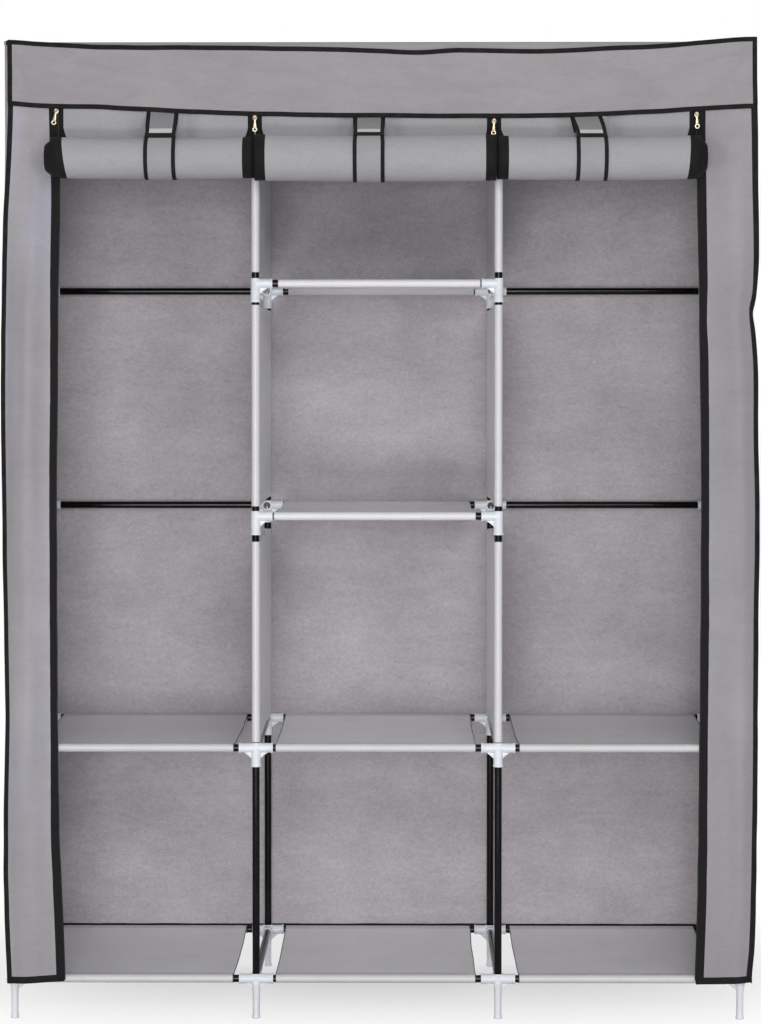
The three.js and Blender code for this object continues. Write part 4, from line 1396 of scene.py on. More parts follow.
@dataclass
class SleevedPanels:
    """Cloth panels with a sleeve sewn round a tube at each end, and narrow hems, dark on the lowest two
    levels' shelves.
    """

    hem: float = 0.0017
    cloth: float = 0.0007
    slips: tuple[tuple[str, float], ...] = (
        ("centre_4", 0.0040), ("centre_3", -0.0040), ("centre_2", -0.0025), ("centre_1", -0.0025),
        ("left_2", -0.0020), ("left_1", -0.0035),
    )
    divider_gaps: tuple[tuple[int, float], ...] = ((2, 0.0012), (3, 0.0082), (4, 0.0102))
    shelf_length: float = 0.353
    divider_length: float = 0.352
    sag: float = 0.006
    lean: float = 0.0025
    seam: float = 0.019
    seam_sink: float = 0.0012
    wave: float = 0.0022
    ripple: float = 0.0012
    edge_waver: float = 0.0012
    edge_droop: float = 0.0014
    divider_wave: float = 0.0016
    columns: int = 28
    rows: int = 130
    sleeve_steps: int = 18
    web_steps: int = 40

    def build(self) -> None:
        """Makes the eight shelves and six dividers."""
        for level in (1, 2, 3, 4):
            for bay, name in enumerate(BAYS):
                if level <= 2 or name == "centre":
                    self._shelf(bay, level, f"shelf_{name}_level_{level}")
        for level, gap in self.divider_gaps:
            self._divider(1, level, gap, f"divider_left_level_{level}")
            self._divider(2, level, gap, f"divider_right_level_{level}")

    def _section(self, sag: float) -> Trail:
        """The cloth's way across the depth: seam, front sleeve, web, rear sleeve, seam.

        Args:
            sag: how far the web's middle hangs.

        Returns:
            A trail of (depth from the middle, height above the tubes' axes).
        """
        radius, half = PLAN.sleeve, PLAN.half_depth
        reach, drop = self.seam, radius - self.seam_sink
        lower = atan2(drop, reach) - acos(radius / hypot(reach, drop))
        end = [Vector((-half + reach, drop, 0))]
        for step in range(self.sleeve_steps + 1):
            angle = between(lower, -3 * pi / 2, step / self.sleeve_steps)
            end.append(Vector((-half + radius * cos(angle), radius * sin(angle), 0)))
        web = []
        for step in range(1, self.web_steps):
            share = step / self.web_steps
            web.append(Vector((between(-half, half, share), radius - sag * 4 * share * (1 - share), 0)))
        back = [Vector((-point.x, point.y, 0)) for point in reversed(end)]
        return Trail(end + web + back)

    def _shelf(self, bay: int, level: int, node: str) -> None:
        """One shelf between its front and rear bars.

        Args:
            bay: its bay, counted from the left.
            level: its level.
            node: its node.
        """
        section = self._section(self.sag)
        slip = dict(self.slips).get(f"{BAYS[bay]}_{level}", 0.0)
        middle = PLAN.column(bay) + PLAN.bay / 2 + slip
        height = PLAN.level(level)

        def place(u: float, v: float) -> Vector:
            """Where a point of the shelf lies.

            Args:
                u: the share of its length along the bars.
                v: the share of the way across the depth.

            Returns:
                The place.
            """
            at = section.at(v)
            x = middle + (u - 0.5) * self.shelf_length
            inside = 1 - min(1.0, abs(at.x / PLAN.half_depth)) ** 6
            wave = self.wave * noise.noise(Vector((x * 9, at.x * 7, level * 3.3)))
            wave += self.ripple * noise.noise(Vector((x * 24, at.x * 11, level * 1.7 + 5)))
            edge = 1 - abs(2 * u - 1) ** 4
            x += self.edge_waver * noise.noise(Vector((at.x * 9, level + u * 3, bay))) * (1 - edge)
            lift = wave * inside * edge - self.edge_droop * (1 - edge) * inside
            return Vector((x, PLAN.middle + at.x, height + at.y + lift))

        self._dress(place, section, self.shelf_length, node)

    def _divider(self, column: int, level: int, gap: float, node: str) -> None:
        """One divider between the front and rear uprights of an inner column.

        Args:
            column: the column, counted from the left.
            level: the level that it stands on.
            gap: how far it starts above the connectors' mouths.
            node: its node.
        """
        section = self._section(self.lean)
        to_centre = 1 if column < 2 else -1
        low = PLAN.level(level) + PLAN.mouth + gap

        def place(u: float, v: float) -> Vector:
            """Where a point of the divider lies.

            Args:
                u: the share of its height.
                v: the share of the way across the depth.

            Returns:
                The place.
            """
            at = section.at(v)
            inside = 1 - min(1.0, abs(at.x / PLAN.half_depth)) ** 6
            wave = self.divider_wave * noise.noise(Vector((u * 3.1, at.x * 9, level * 2.3 + column)))
            x = PLAN.column(column) + to_centre * (at.y + wave * inside)
            return Vector((x, PLAN.middle + at.x, low + u * self.divider_length))

        self._dress(place, section, self.divider_length, node)

    def _dress(self, place: Place, section: Trail, length: float, node: str) -> None:
        """Cuts, lays and hems one panel.

        Args:
            place: the panel's rule of place.
            section: its way across the depth.
            length: its length along the tubes.
            node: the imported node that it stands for.
        """
        flat = (length, section.length)
        shelf = node.startswith("shelf")
        low = shelf and node.endswith(("1", "2"))
        outward = Z if shelf else X * (1 if "left" in node else -1)

        def spread(share: float) -> float:
            """Moves the first and last inner columns of the grid to the hems' seams.

            Args:
                share: a column's even share of the length.

            Returns:
                Its share once moved.
            """
            column = round(share * self.columns)
            if column in (0, self.columns):
                return share
            narrow = self.hem / length
            return between(narrow, 1 - narrow, (column - 1) / (self.columns - 2))

        mesh = Sheet(self.columns, self.rows, flat, outward, place, spread, True).mesh()
        mark_faces(mesh, lambda at: not self.hem < at.x < length - self.hem)
        # The lowest two levels' shelves take the copy with painted shade on their sleeves.
        cloth = LOW_SHELVING_SHADED if low else SHELVING if shelf else DIVIDING_SHADED
        piece = put(f"{node}_cloth", mesh, [cloth, HEM if low else cloth], "frame", [node])
        thicken(piece, self.cloth)


# ---- the cover

LEFT_EDGE = Contour((
    (0.066, 0.6485), (0.130, 0.651), (0.257, 0.654), (0.383, 0.653), (0.510, 0.650), (0.636, 0.651),
    (0.762, 0.653), (0.920, 0.6545), (1.077, 0.656), (1.265, 0.654), (1.391, 0.651), (1.516, 0.6485),
    (1.709, 0.6485),
))
RIGHT_EDGE = Contour((
    (0.066, 0.656), (0.130, 0.661), (0.322, 0.664), (0.574, 0.665), (0.700, 0.6655), (0.889, 0.667),
    (1.014, 0.664), (1.140, 0.663), (1.202, 0.658), (1.234, 0.654), (1.265, 0.660), (1.327, 0.664),
    (1.452, 0.6625), (1.577, 0.661), (1.709, 0.659),
))
TOP_LINE = Contour((
    (-0.646, 1.7125), (-0.586, 1.709), (-0.481, 1.7035), (-0.342, 1.7025), (-0.134, 1.7000),
    (0.005, 1.6965), (0.075, 1.6935), (0.144, 1.6975), (0.283, 1.6955), (0.422, 1.7015),
    (0.491, 1.7040), (0.561, 1.7105), (0.660, 1.7165),
))
LEFT_TRIM = Contour((
    (0.066, -0.5485), (0.193, -0.5525), (0.319, -0.5575), (0.446, -0.5598), (0.640, -0.5605),
    (0.951, -0.5605), (1.076, -0.5585), (1.202, -0.5575), (1.327, -0.5555), (1.453, -0.5530),
    (1.560, -0.5555), (1.709, -0.5565),
))
RIGHT_TRIM = Contour((
    (0.066, 0.5585), (0.193, 0.562), (0.446, 0.565), (0.699, 0.5665), (0.951, 0.5668),
    (1.202, 0.5630), (1.327, 0.561), (1.453, 0.558), (1.560, 0.5560), (1.709, 0.5565),
))
HEM_LINE = Contour((
    (-0.646, 1.6045), (-0.586, 1.600), (-0.481, 1.598), (-0.412, 1.594), (-0.273, 1.588),
    (-0.134, 1.5845), (0.005, 1.583), (0.213, 1.582), (0.353, 1.584), (0.492, 1.590),
    (0.561, 1.594), (0.660, 1.599),
))


@dataclass(frozen=True)
class Pinch:
    """A short crease pressed across the right flap."""

    height: float
    slope: float
    width: float
    rise: float

    def at(self, u: float, z: float) -> float:
        """How far it stands out at a share of the flap's width and a height."""
        return self.rise * crease(z - self.height - self.slope * (u - 1), self.width)


# A line on a sheet, in shares: its start, its end, and a step into the cloth.
Line = tuple[tuple[float, float], tuple[float, float], tuple[float, float]]
LOW_LINE: Line = ((0, 0), (1, 0), (0, 0.01))
HIGH_LINE: Line = ((0, 1), (1, 1), (0, -0.01))


@dataclass
class Cover:
    """The cloth cover: top, back, two sides, pelmet and two flaps, bound with black tape."""

    cloth: float = 0.0006
    tape_width: float = 0.0084
    corner_tapes: tuple[float, float] = (0.0092, 0.0116)
    tape_thickness: float = 0.0026
    flap_trim: float = 0.0156
    hem_tape: float = 0.0125
    front_hem: float = 0.066
    rear_hem: float = 0.072
    over_bars: float = 0.0012
    brow: float = 0.0008
    brow_rows: float = 0.2
    top_hang: float = 0.0022
    pelmet_flat: float = 0.116
    pelmet_swing: float = 0.0030
    pelmet_ripple: float = 0.0016
    pelmet_crease: float = 0.0046
    back_swell: float = 0.0050
    back_fold: float = 0.0026
    back_ripple: float = 0.0012
    side_fold: float = 0.0050
    side_ripple: float = 0.0018
    side_drawn: float = 0.0034
    side_sink: float = 0.0025
    side_clearance: float = 0.0009
    flap_fold: float = 0.0125
    flap_swell: float = 0.0110
    flap_ripple: float = 0.0022
    pinches: tuple[Pinch, ...] = (Pinch(1.236, 0.02, 0.014, 0.0058), Pinch(1.29, 0.05, 0.02, 0.0034))
    pressed_from: tuple[float, float] = (1.47, 1.578)
    pressed: float = 0.94
    dent: float = 0.0105
    dent_place: tuple[float, float] = (0.5880, 1.514)
    dent_width: float = 0.016

    def build(self) -> None:
        """Makes the seven panels and their tapes."""
        self._top()
        self._pelmet()
        self._back()
        for side, name in ((-1, "left"), (1, "right")):
            self._side(side, name)
            self._flap(side, name)

    def edge_x(self, side: int, height: float) -> float:
        """Where the cover's front corner seam runs at a height."""
        drawn_in = 0.0065 * eased(height, 1.38, 1.60) if side < 0 else 0.0
        return self.bulge_x(side, height) + drawn_in

    def bulge_x(self, side: int, height: float) -> float:
        """Where a side wall bulges to just behind the corner seam."""
        return -LEFT_EDGE.at(height) if side < 0 else RIGHT_EDGE.at(height)

    def _height(self, x: float, y: float) -> float:
        """The top's height: a taut sheet over the bars that falls a little to its front edge.

        Args:
            x: how far to the right.
            y: how far back.

        Returns:
            The height.
        """
        front, crest = PLAN.pelmet_plane - self.brow, PLAN.front
        line, over = TOP_LINE.at(x), PLAN.top + self.over_bars
        if y <= crest:
            share = max(0.0, (y - front) / (crest - front))
            return between(line, max(line, over), eased(share, 0, 0.6))
        depth = (y - crest) / (PLAN.rear_plane - crest)
        peak = max(0.0, line - PLAN.top) * max(0.0, 1 - depth * 3.5) ** 2
        hang = self.top_hang * sin(pi * min(1.0, depth)) * (0.6 + 0.4 * cos(3 * x))
        return over + peak - hang

    def _panel(self, node: str, sheet: Sheet, finish: Finish) -> bpy.types.Object:
        """Args:
            node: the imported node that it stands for.
            sheet: the panel.
            finish: its finish.

        Returns:
            The piece.
        """
        piece = put(f"{node}_cloth", sheet.mesh(), [finish], "frame", [node])
        thicken(piece, self.cloth)
        return piece

    def _bind(
        self, name: str, sheet: Sheet, line: Line, count: int, width: float = 0.0, finish: Finish = TAPE
    ) -> None:
        """Binds a line of a sheet with tape.

        Args:
            name: the tape's name.
            sheet: the sheet.
            line: the line, and the way into the cloth.
            count: how many stations the tape gets.
            width: its width, or 0 for the common one.
            finish: its finish.
        """
        stations = sheet.edge(*(Vector(pair) for pair in line), count)
        mesh = Ribbon(width or self.tape_width, self.tape_thickness).along(stations)
        put(name, mesh, [finish], "frame")

    def _top(self) -> None:
        """The top, drawn down a little along its front edge."""
        front, rear = PLAN.pelmet_plane - self.brow, PLAN.rear_plane + 0.0006

        def place(u: float, v: float) -> Vector:
            """Where a point of the top lies.

            Args:
                u: the share of its width.
                v: the share of its depth, the first rows all in front of the front bar.

            Returns:
                The place.
            """
            x = between(self.edge_x(-1, PLAN.top), self.edge_x(1, PLAN.top), u)
            x = between(x, between(-PLAN.side, PLAN.side, u), v)
            behind = (v - self.brow_rows) / (1 - self.brow_rows)
            if behind < 0:
                y = between(front, PLAN.front, v / self.brow_rows)
            else:
                y = between(PLAN.front, rear, behind)
            inner = sin(pi * u) * sin(pi * min(1.0, max(0.0, behind)))
            lift = 0.0016 * rumple(Vector((x, y, 0)), 0.16, 2.0) * inner
            return Vector((x, y, self._height(x, y) + lift))

        sheet = Sheet(120, 30, (2 * PLAN.side, rear - front + 0.006), Z, place)
        self._panel("cover_top", sheet, COVER)

    def _pelmet(self) -> None:
        """The pelmet that hangs over the doors' tops."""

        def place(u: float, v: float) -> Vector:
            """Where a point of the pelmet lies.

            Args:
                u: the share of its width.
                v: the share of its height.

            Returns:
                The place.
            """
            height = between(1.60, 1.706, v)
            x = between(self.edge_x(-1, height), self.edge_x(1, height), u)
            top = self._height(x, PLAN.pelmet_plane - self.brow) + 0.0006
            z = between(HEM_LINE.at(x) - 0.004, top, v)
            free = (1 - v) ** 1.2
            out = self.pelmet_swing * free * (0.5 + 0.5 * rumple(Vector((x, 0, z * 0.3)), 0.19, 4.0))
            out += self.pelmet_ripple * sin(pi * v) * rumple(Vector((x, 0, z)), 0.055, 9.0)
            for side in (-1, 1):
                corner = Vector((self.edge_x(side, 1.71), 0, 1.712))
                away = Vector((x, 0, z)) - corner
                spoke = atan2(-away.z, abs(away.x) + 1e-6)
                reach = eased(away.length, 0.004, 0.03) * exp(-away.length / 0.10)
                inner = eased(v, 1.0, 0.80) * eased(abs(x - corner.x), 0.008, 0.028)
                out += self.pelmet_crease * reach * inner * sin(9 * spoke + side)
            return Vector((x, PLAN.pelmet_plane - 0.0003 - max(0.0, out), z))

        sheet = Sheet(240, 26, (2 * PLAN.side + 0.006, self.pelmet_flat), -Y, place)
        self._panel("cover_pelmet", sheet, COVER)
        for name, share, inward in (("left", 0.0, 0.008), ("right", 1.0, -0.008)):
            self._bind(f"pelmet_side_tape_{name}", sheet, ((share, 0.04), (share, 1), (inward, 0)), 24)
        self._bind("pelmet_hem_tape", sheet, ((0, 0), (1, 0), (0, 0.08)), 180)
        self._bind("top_seam_tape", sheet, ((0, 1), (1, 1), (0, -0.08)), 180)

    def _back(self) -> None:
        """The back wall, hung from the top seam, with soft drawn creases."""

        def place(u: float, v: float) -> Vector:
            """Where a point of the back lies.

            Args:
                u: the share of its width.
                v: the share of its height.

            Returns:
                The place.
            """
            x = between(-PLAN.side, PLAN.side, u)
            high = self._height(x, PLAN.rear_plane) - 0.0004
            z = between(self.rear_hem, high, v)
            loose = sin(pi * u) ** 0.5 * (1 - v**4)
            out = self.back_swell * sin(3 * pi * u) ** 2 * sin(pi * v)
            out += self.back_fold * rumple(Vector((x, 0, z * 0.6)), 0.13, 1.0) * loose
            out += self.back_ripple * rumple(Vector((x, 0, z * 1.5)), 0.045, 6.0) * loose
            return Vector((x, PLAN.rear_plane + max(0.0, out), z))

        sheet = Sheet(130, 150, (2 * PLAN.side, PLAN.top - self.rear_hem), Y, place)
        panel = self._panel("cover_back", sheet, COVER)
        # The inner face gets the backing cloth with painted light.
        panel.data.materials.append(BACKING_PAINTED_LIGHT.material())
        panel.modifiers["cloth"].material_offset = 1
        self._bind("back_hem_tape", sheet, LOW_LINE, 150)
        self._bind("back_top_tape", sheet, HIGH_LINE, 150)

    def _side(self, side: int, name: str) -> None:
        """A side wall, with broad folds that gather towards its front corner.

        Args:
            side: -1 for the left one, 1 for the right one.
            name: "left" or "right".
        """
        front, rear = PLAN.front_plane + 0.0003, PLAN.rear_plane - 0.0003
        least = PLAN.column(3) + PLAN.mouth + self.side_clearance

        def place(u: float, v: float) -> Vector:
            """Where a point of the wall lies, kept clear of the connectors.

            Args:
                u: the share of its depth.
                v: the share of its height.

            Returns:
                The place.
            """
            y = between(front, rear, u)
            high = self._height(side * PLAN.side, y) - 0.0004
            z = between(between(self.front_hem, self.rear_hem, u), high, v)
            bulge = between(self.edge_x(side, z), self.bulge_x(side, z), eased(u, 0, 0.012))
            wall = between(bulge, side * PLAN.side, eased(u, 0.1, 0.6))
            loose = sin(pi * u) * (1 - v**6)
            fold = self.side_fold * rumple(Vector((0, y * 1.5, z * 0.4)), 0.11, 3.0 + side)
            fold += self.side_ripple * rumple(Vector((0, y * 1.2, z * 0.7)), 0.045, 8.0 + side)
            for nook, lean in ((0.10, 0.55), (0.90, -0.50)):
                drawn = crease(u - nook - lean * (1 - v) * 1.6, 0.035) * exp(-(1 - v) / 0.16)
                fold += self.side_drawn * drawn * eased(1 - v, 0.015, 0.06)
            sink = 0.001 - self.side_sink * sin(pi * u) ** 2 * sin(3 * pi * v) ** 2
            swell = fold * loose + sink * loose * eased(u, 0.12, 0.3) * eased(u, 1.0, 0.85)
            near = max(eased(u, 0.10, 0.08), eased(u, 0.90, 0.94)) * (u > 0.006)
            out = max(abs(wall + side * swell), between(0.0, least, near))
            return Vector((side * out, y, z))

        flat = (rear - front, PLAN.top - 0.069)
        sheet = Sheet(60, 150, flat, X * side, place, lambda share: share**1.6)
        self._panel(f"cover_side_{name}", sheet, COVER)
        self._bind(f"side_hem_tape_{name}", sheet, LOW_LINE, 60)
        self._bind(f"side_top_tape_{name}", sheet, HIGH_LINE, 60)
        self._bind(f"rear_corner_tape_{name}", sheet, ((1, 0), (1, 1), (-0.02, 0)), 190)

    def _flap_out(self, side: int, x: float, z: float, u: float, v: float) -> float:
        """How far a flap's cloth stands out in front of its plane.

        Args:
            side: -1 for the left one, 1 for the right one.
            x: how far to the right.
            z: how high.
            u: the share of the flap's width.
            v: the share of its height.

        Returns:
            The distance, less the dent that the roll's end presses in.
        """
        belly = eased(z, 0.10, 0.5) * (1 - eased(z, 1.15, 1.50))
        line = between(0.62, 0.46, v) if side < 0 else between(0.70, 0.62, v)
        out = self.flap_fold * crease(u - line, 0.20) * (0.35 + 0.65 * belly) * (0.8 + 0.2 * sin(7 * z))
        out += self.flap_swell * eased(u, 1.0, 0.72) * eased(u, 0.0, 0.5) * (0.4 + 0.6 * belly)
        out += self.flap_ripple * rumple(Vector((x * 2.2, 0, z * 0.45)), 0.09, 2.5 + side) * sin(pi * u)
        if side > 0:
            near = eased(u, 0.0, 0.6) * eased(u, 1.0, 0.88)
            out += near * sum(pinch.at(u, z) for pinch in self.pinches)
        out *= 1 - self.pressed * eased(z, *self.pressed_from)
        dent_x, dent_z = self.dent_place
        dent = self.dent * crease(hypot(x - side * dent_x, (z - dent_z) * 0.8), self.dent_width)
        return max(0.0, out) - dent

    def _flap(self, side: int, name: str) -> None:
        """A flap beside the doors, with one long soft fold, its corner seam and its trims.

        Args:
            side: -1 for the left one, 1 for the right one.
            name: "left" or "right".
        """
        trim = LEFT_TRIM if side < 0 else RIGHT_TRIM

        def place(u: float, v: float) -> Vector:
            """Where a point of the flap lies.

            Args:
                u: the share of its width, from the trim to the corner seam.
                v: the share of its height.

            Returns:
                The place.
            """
            even = between(self.front_hem, PLAN.top, v)
            x = between(trim.at(even) + side * 0.0008, self.edge_x(side, even), u)
            high = self._height(x, PLAN.front_plane) - 0.0006
            z = between(self.front_hem + 0.004 * side * (u - 0.5), high, v)
            out = self._flap_out(side, x, z, u, v)
            return Vector((x, PLAN.front_plane - 0.0004 - out, z))

        width = abs(self.edge_x(side, 1.0) - trim.at(1.0))
        sheet = Sheet(28, 190, (width, PLAN.top - self.front_hem), -Y, place)
        # The left flap takes the copy with painted light and painted sheen; the right one the plain copy.
        finish = FLAP_PAINTED_LIGHT if side < 0 else FLAP_PLAIN
        self._panel(f"cover_flap_{name}", sheet, finish)
        inner, outer = ((0, 0), (0, 0.985), (0.06, 0)), ((1, 0), (1, 1), (-0.06, 0))
        self._bind(f"flap_zip_tape_{name}", sheet, inner, 200, self.flap_trim, ZIPTAPE)
        self._bind(f"front_corner_tape_{name}", sheet, outer, 200, self.corner_tapes[side > 0])
        self._bind(f"flap_hem_tape_{name}", sheet, LOW_LINE, 40, self.hem_tape)


# ---- doors, straps and zips


@dataclass
class RolledDoor:
    """A door: its hanging part, and the rest of its cloth wound up into a roll."""

    index: int
    outer: float
    ends: tuple[float, float]
    strap_off: float
    end_slant: tuple[float, float] = (0.0, 0.0)
    turns: int = 10
    length: float = 1.635
    band: float = 0.0190
    hanging_band: float = 0.0112
    cloth: float = 0.0006
    seam_height: float = 1.7050
    off_plane: float = 0.0014
    off_zip: float = 0.0012
    uneven: float = 0.020
    pinch: float = 0.030
    wave: float = 0.0045
    drawn: float = 0.0110
    dip: float = 0.0018
    columns: int = 44
    band_columns: int = 2
    hang_rows: int = 22
    turn_rows: int = 28

    @property
    def name(self) -> str:
        """The name of the door's bay."""
        return BAYS[self.index]

    @property
    def zips(self) -> tuple[float, float]:
        """Where the zips on its two sides run."""
        return PLAN.zips[self.index], PLAN.zips[self.index + 1]

    @property
    def strap_x(self) -> float:
        """Where the strap's middle lies."""
        return sum(self.zips) / 2 + self.strap_off

    @property
    def axis_y(self) -> float:
        """Where the roll's axis lies in depth."""
        return PLAN.front_plane - self.off_plane - self.outer

    @property
    def wind(self) -> float:
        """How much a turn takes off the radius, so that the whole length is wound up."""
        wound = self.length - (self.seam_height - PLAN.roll_axis)
        return (self.turns * self.outer - wound / (2 * pi)) / (self.turns**2 / 2)

    def _radius(self, turn: float, x: float) -> float:
        """The roll's radius after some turns, pinched by the strap and a little uneven.

        Args:
            turn: how many turns from the outside.
            x: the place along the roll.

        Returns:
            The radius.
        """
        angle = 2 * pi * turn
        about = Vector((x * 7, 0.7 * cos(angle), 0.7 * sin(angle) + self.index))
        uneven = self.uneven * noise.noise(about)
        pinch = self.pinch * crease(x - self.strap_x, 0.045)
        return (self.outer - self.wind * turn) * (1 + uneven - pinch)

    def _shift(self, turn: float) -> tuple[float, float]:
        """How far each end of the cloth has crept along the roll, stepping out turn by turn.

        Args:
            turn: how many turns from the outside.

        Returns:
            The left and the right end's way along X.
        """
        whole = int(turn)
        stepped = min(4.5, whole + eased(turn - whole, 0.80, 1.0))
        left = -0.0034 * stepped if self.index == 0 else 0.0012 * sin(2 * stepped)
        right = 0.0029 * stepped if self.index == 2 else 0.0012 * sin(2 * stepped + 1)
        return left, right

    def _across(self, u: float, band: float) -> float:
        """How far from the left end a column of the cloth lies.

        Args:
            u: the column's even share of the width.
            band: the width of the zip tape at each end.

        Returns:
            The distance, with the first and last columns inside the bands.
        """
        width = self.ends[1] - self.ends[0]
        column, last = u * self.columns, self.columns - self.band_columns
        if column <= self.band_columns:
            return band * column / self.band_columns
        if column >= last:
            return width - band * (self.columns - column) / self.band_columns
        return between(band, width - band, (column - self.band_columns) / (last - self.band_columns))

    def _hanging(self, u: float, share: float) -> Vector:
        """Where a point of the hanging part lies.

        Args:
            u: the share of the width.
            share: the share of the way down to the roll.

        Returns:
            The place.
        """
        left, right = self.ends
        zips = self.zips[0] + self.off_zip, self.zips[1] - self.off_zip
        wide = zips[0] + self._across(u, self.hanging_band) / (right - left) * (zips[1] - zips[0])
        x = between(wide, left + self._across(u, self.band), eased(share, 0.72, 0.86))
        z = between(TOP_LINE.at(x) - 0.0015, PLAN.roll_axis, share)
        wave = self.wave * rumple(Vector((x, 0, z * 0.6)), 0.045, 7.0 + self.index) * sin(pi * share)
        beside = abs(x - self.strap_x) - 0.034
        drawn = self.drawn * crease(beside, 0.020) * eased(share, 0.35, 0.8) * (beside > -0.004)
        out = abs(wave) * sin(pi * u) ** 0.5 - drawn
        return Vector((x, PLAN.front_plane - 0.0006 - out, z))

    def _rolled(self, u: float, turn: float) -> Vector:
        """Where a point of the wound part lies.

        Args:
            u: the share of the width.
            turn: how many turns from the outside.

        Returns:
            The place.
        """
        x = self.ends[0] + self._across(u, self.band)
        radius, angle = self._radius(turn, x), 2 * pi * turn
        x += between(*self._shift(turn), u)
        if turn < 1.2:
            x += (self.end_slant[0] * (1 - u) ** 6 - self.end_slant[1] * u**6) * sin(angle)
        dip = self.dip * sin(pi * u) * min(1.0, turn * 4)
        return Vector((x, self.axis_y + radius * cos(angle), PLAN.roll_axis - radius * sin(angle) - dip))

    def build(self) -> None:
        """Makes the door as one sheet with its two black zip tapes."""
        rows = self.hang_rows + self.turns * self.turn_rows
        left, right = self.ends
        flat = (right - left, self.length)

        def place(u: float, v: float) -> Vector:
            """Where a point of the door lies.

            Args:
                u: the share of its width.
                v: the share of its rows, the hanging part's first.

            Returns:
                The place.
            """
            row = v * rows
            if row <= self.hang_rows:
                return self._hanging(u, row / self.hang_rows)
            return self._rolled(u, (row - self.hang_rows) / self.turn_rows)

        mesh = Sheet(self.columns, rows, flat, -Y, place).mesh()
        seam = self.band_columns / self.columns
        mark_faces(mesh, lambda at: not seam < at.x / flat[0] < 1 - seam)
        nodes = [f"door_sheet_{self.name}", f"door_roll_{self.name}"]
        piece = put(f"door_{self.name}_cloth", mesh, [ROLLED, ZIPTAPE], "", nodes)
        thicken(piece, self.cloth)
        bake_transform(piece)


class Layer(Enum):
    """The two layers of a strap."""

    BAND = "band"
    TAB = "tab"


@dataclass
class DoorStrap:
    """A strap that holds a roll: a band round it, and a tab over the band's end."""

    door: RolledDoor
    slant: float = 0.0
    width: float = 0.056
    edge: float = 0.0080
    cloth: float = 0.0010
    band_gap: float = 0.0012
    tab_gap: float = 0.0026
    pile: tuple[float, float] = (0.0262, 0.0122)
    tab_length: float = 0.0880
    fold_height: float = 1.548
    arc_steps: int = 40

    def build(self) -> None:
        """Makes the band and the tab, bound at their edges, the tab with its pale strip and bar."""
        hem = HEM_LINE.at(self.door.strap_x)
        band, tab = self._trail(hem, self.band_gap, True), self._trail(hem, self.tab_gap, False)
        pieces = [
            self._layer(Layer.BAND, band, 1.0, 90),
            self._layer(Layer.TAB, tab, self.tab_length / tab.length, 34),
        ]
        for piece in pieces:
            self.door.strap_x
            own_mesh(piece)

    def _layer(self, layer: Layer, trail: Trail, stop: float, rows: int) -> bpy.types.Object:
        """Cuts, lays and binds one layer.

        Args:
            layer: which one.
            trail: the way that it takes.
            stop: the share of the way at which it ends.
            rows: how many rows its grid has.

        Returns:
            The piece.
        """
        name = self.door.name
        length = trail.length * stop
        flat = (self.width, length)
        mesh = Sheet(16, rows, flat, -Y, lambda u, v: self._lie(trail.at(v * stop), u, v)).mesh()
        mark_faces(mesh, lambda at: self._part(layer, at, length))
        replaces = [f"door_strap_{name}"] if layer is Layer.BAND else []
        finishes = [STRAP if layer is Layer.BAND else TAB, TAPE, PILE]
        piece = put(f"door_strap_{name}_{layer.value}", mesh, finishes, "frame", replaces)
        thicken(piece, self.cloth)
        return piece

    def _part(self, layer: Layer, at: Vector, length: float) -> int:
        """Which finish a place on the flat strap has.

        Args:
            layer: the layer.
            at: the place, in metres.
            length: the layer's length.

        Returns:
            0 for cloth, 1 for black tape, 2 for the pale strip.
        """
        if not self.edge < at.x < self.width - self.edge:
            return 1
        to_end = length - at.y
        if layer is Layer.BAND or to_end >= self.pile[0]:
            return 0
        return 2 if to_end > self.pile[1] else 1

    def _lie(self, at: Vector, u: float, v: float) -> Vector:
        """Where a point of a layer lies.

        Args:
            at: its place on the strap's trail.
            u: the share of the width.
            v: the share of the layer's length.

        Returns:
            The place.
        """
        lean = self.slant * eased(at.y, 1.545, 1.600) - self.slant * 0.15 * (at.y - 1.5)
        narrow = 1 - 0.03 * sin(pi * v) - 0.05 * crease(at.y - self.fold_height, 0.012)
        return Vector((self.door.strap_x + (u - 0.5) * self.width * narrow + lean, at.x, at.y))

    def _trail(self, hem: float, gap: float, whole: bool) -> Trail:
        """The strap's way: from the pelmet's hem over the roll's front, and under it to the back.

        Args:
            hem: the height at which it comes out from under the pelmet.
            gap: how far it lies off the roll's cloth.
            whole: whether it goes round to the back, or only over the front.

        Returns:
            A trail of (y, z).
        """
        radius = self.door.outer * 0.975 + gap
        centre = Vector((self.door.axis_y, PLAN.roll_axis - 0.0018, 0))
        plane = PLAN.front_plane - 0.0004 - gap * 0.6
        head = Vector((plane, hem - 0.0065, 0))
        reach = head - centre
        tangent = atan2(reach.y, reach.x) + acos(min(1.0, radius / reach.length))
        points = [Vector((plane, hem + 0.010, 0)), head]
        last = 7 * pi / 4 if whole else 3 * pi / 2
        for step in range(self.arc_steps + 1):
            angle = between(tangent, last, step / self.arc_steps)
            points.append(centre + Vector((cos(angle), sin(angle), 0)) * radius)
        if whole:
            back = PLAN.front_plane + 0.0014
            run = back - points[-1].x
            points.append(Vector((back, points[-1].y + run, 0)))
            points.append(Vector((back, hem, 0)))
        return Trail(points)


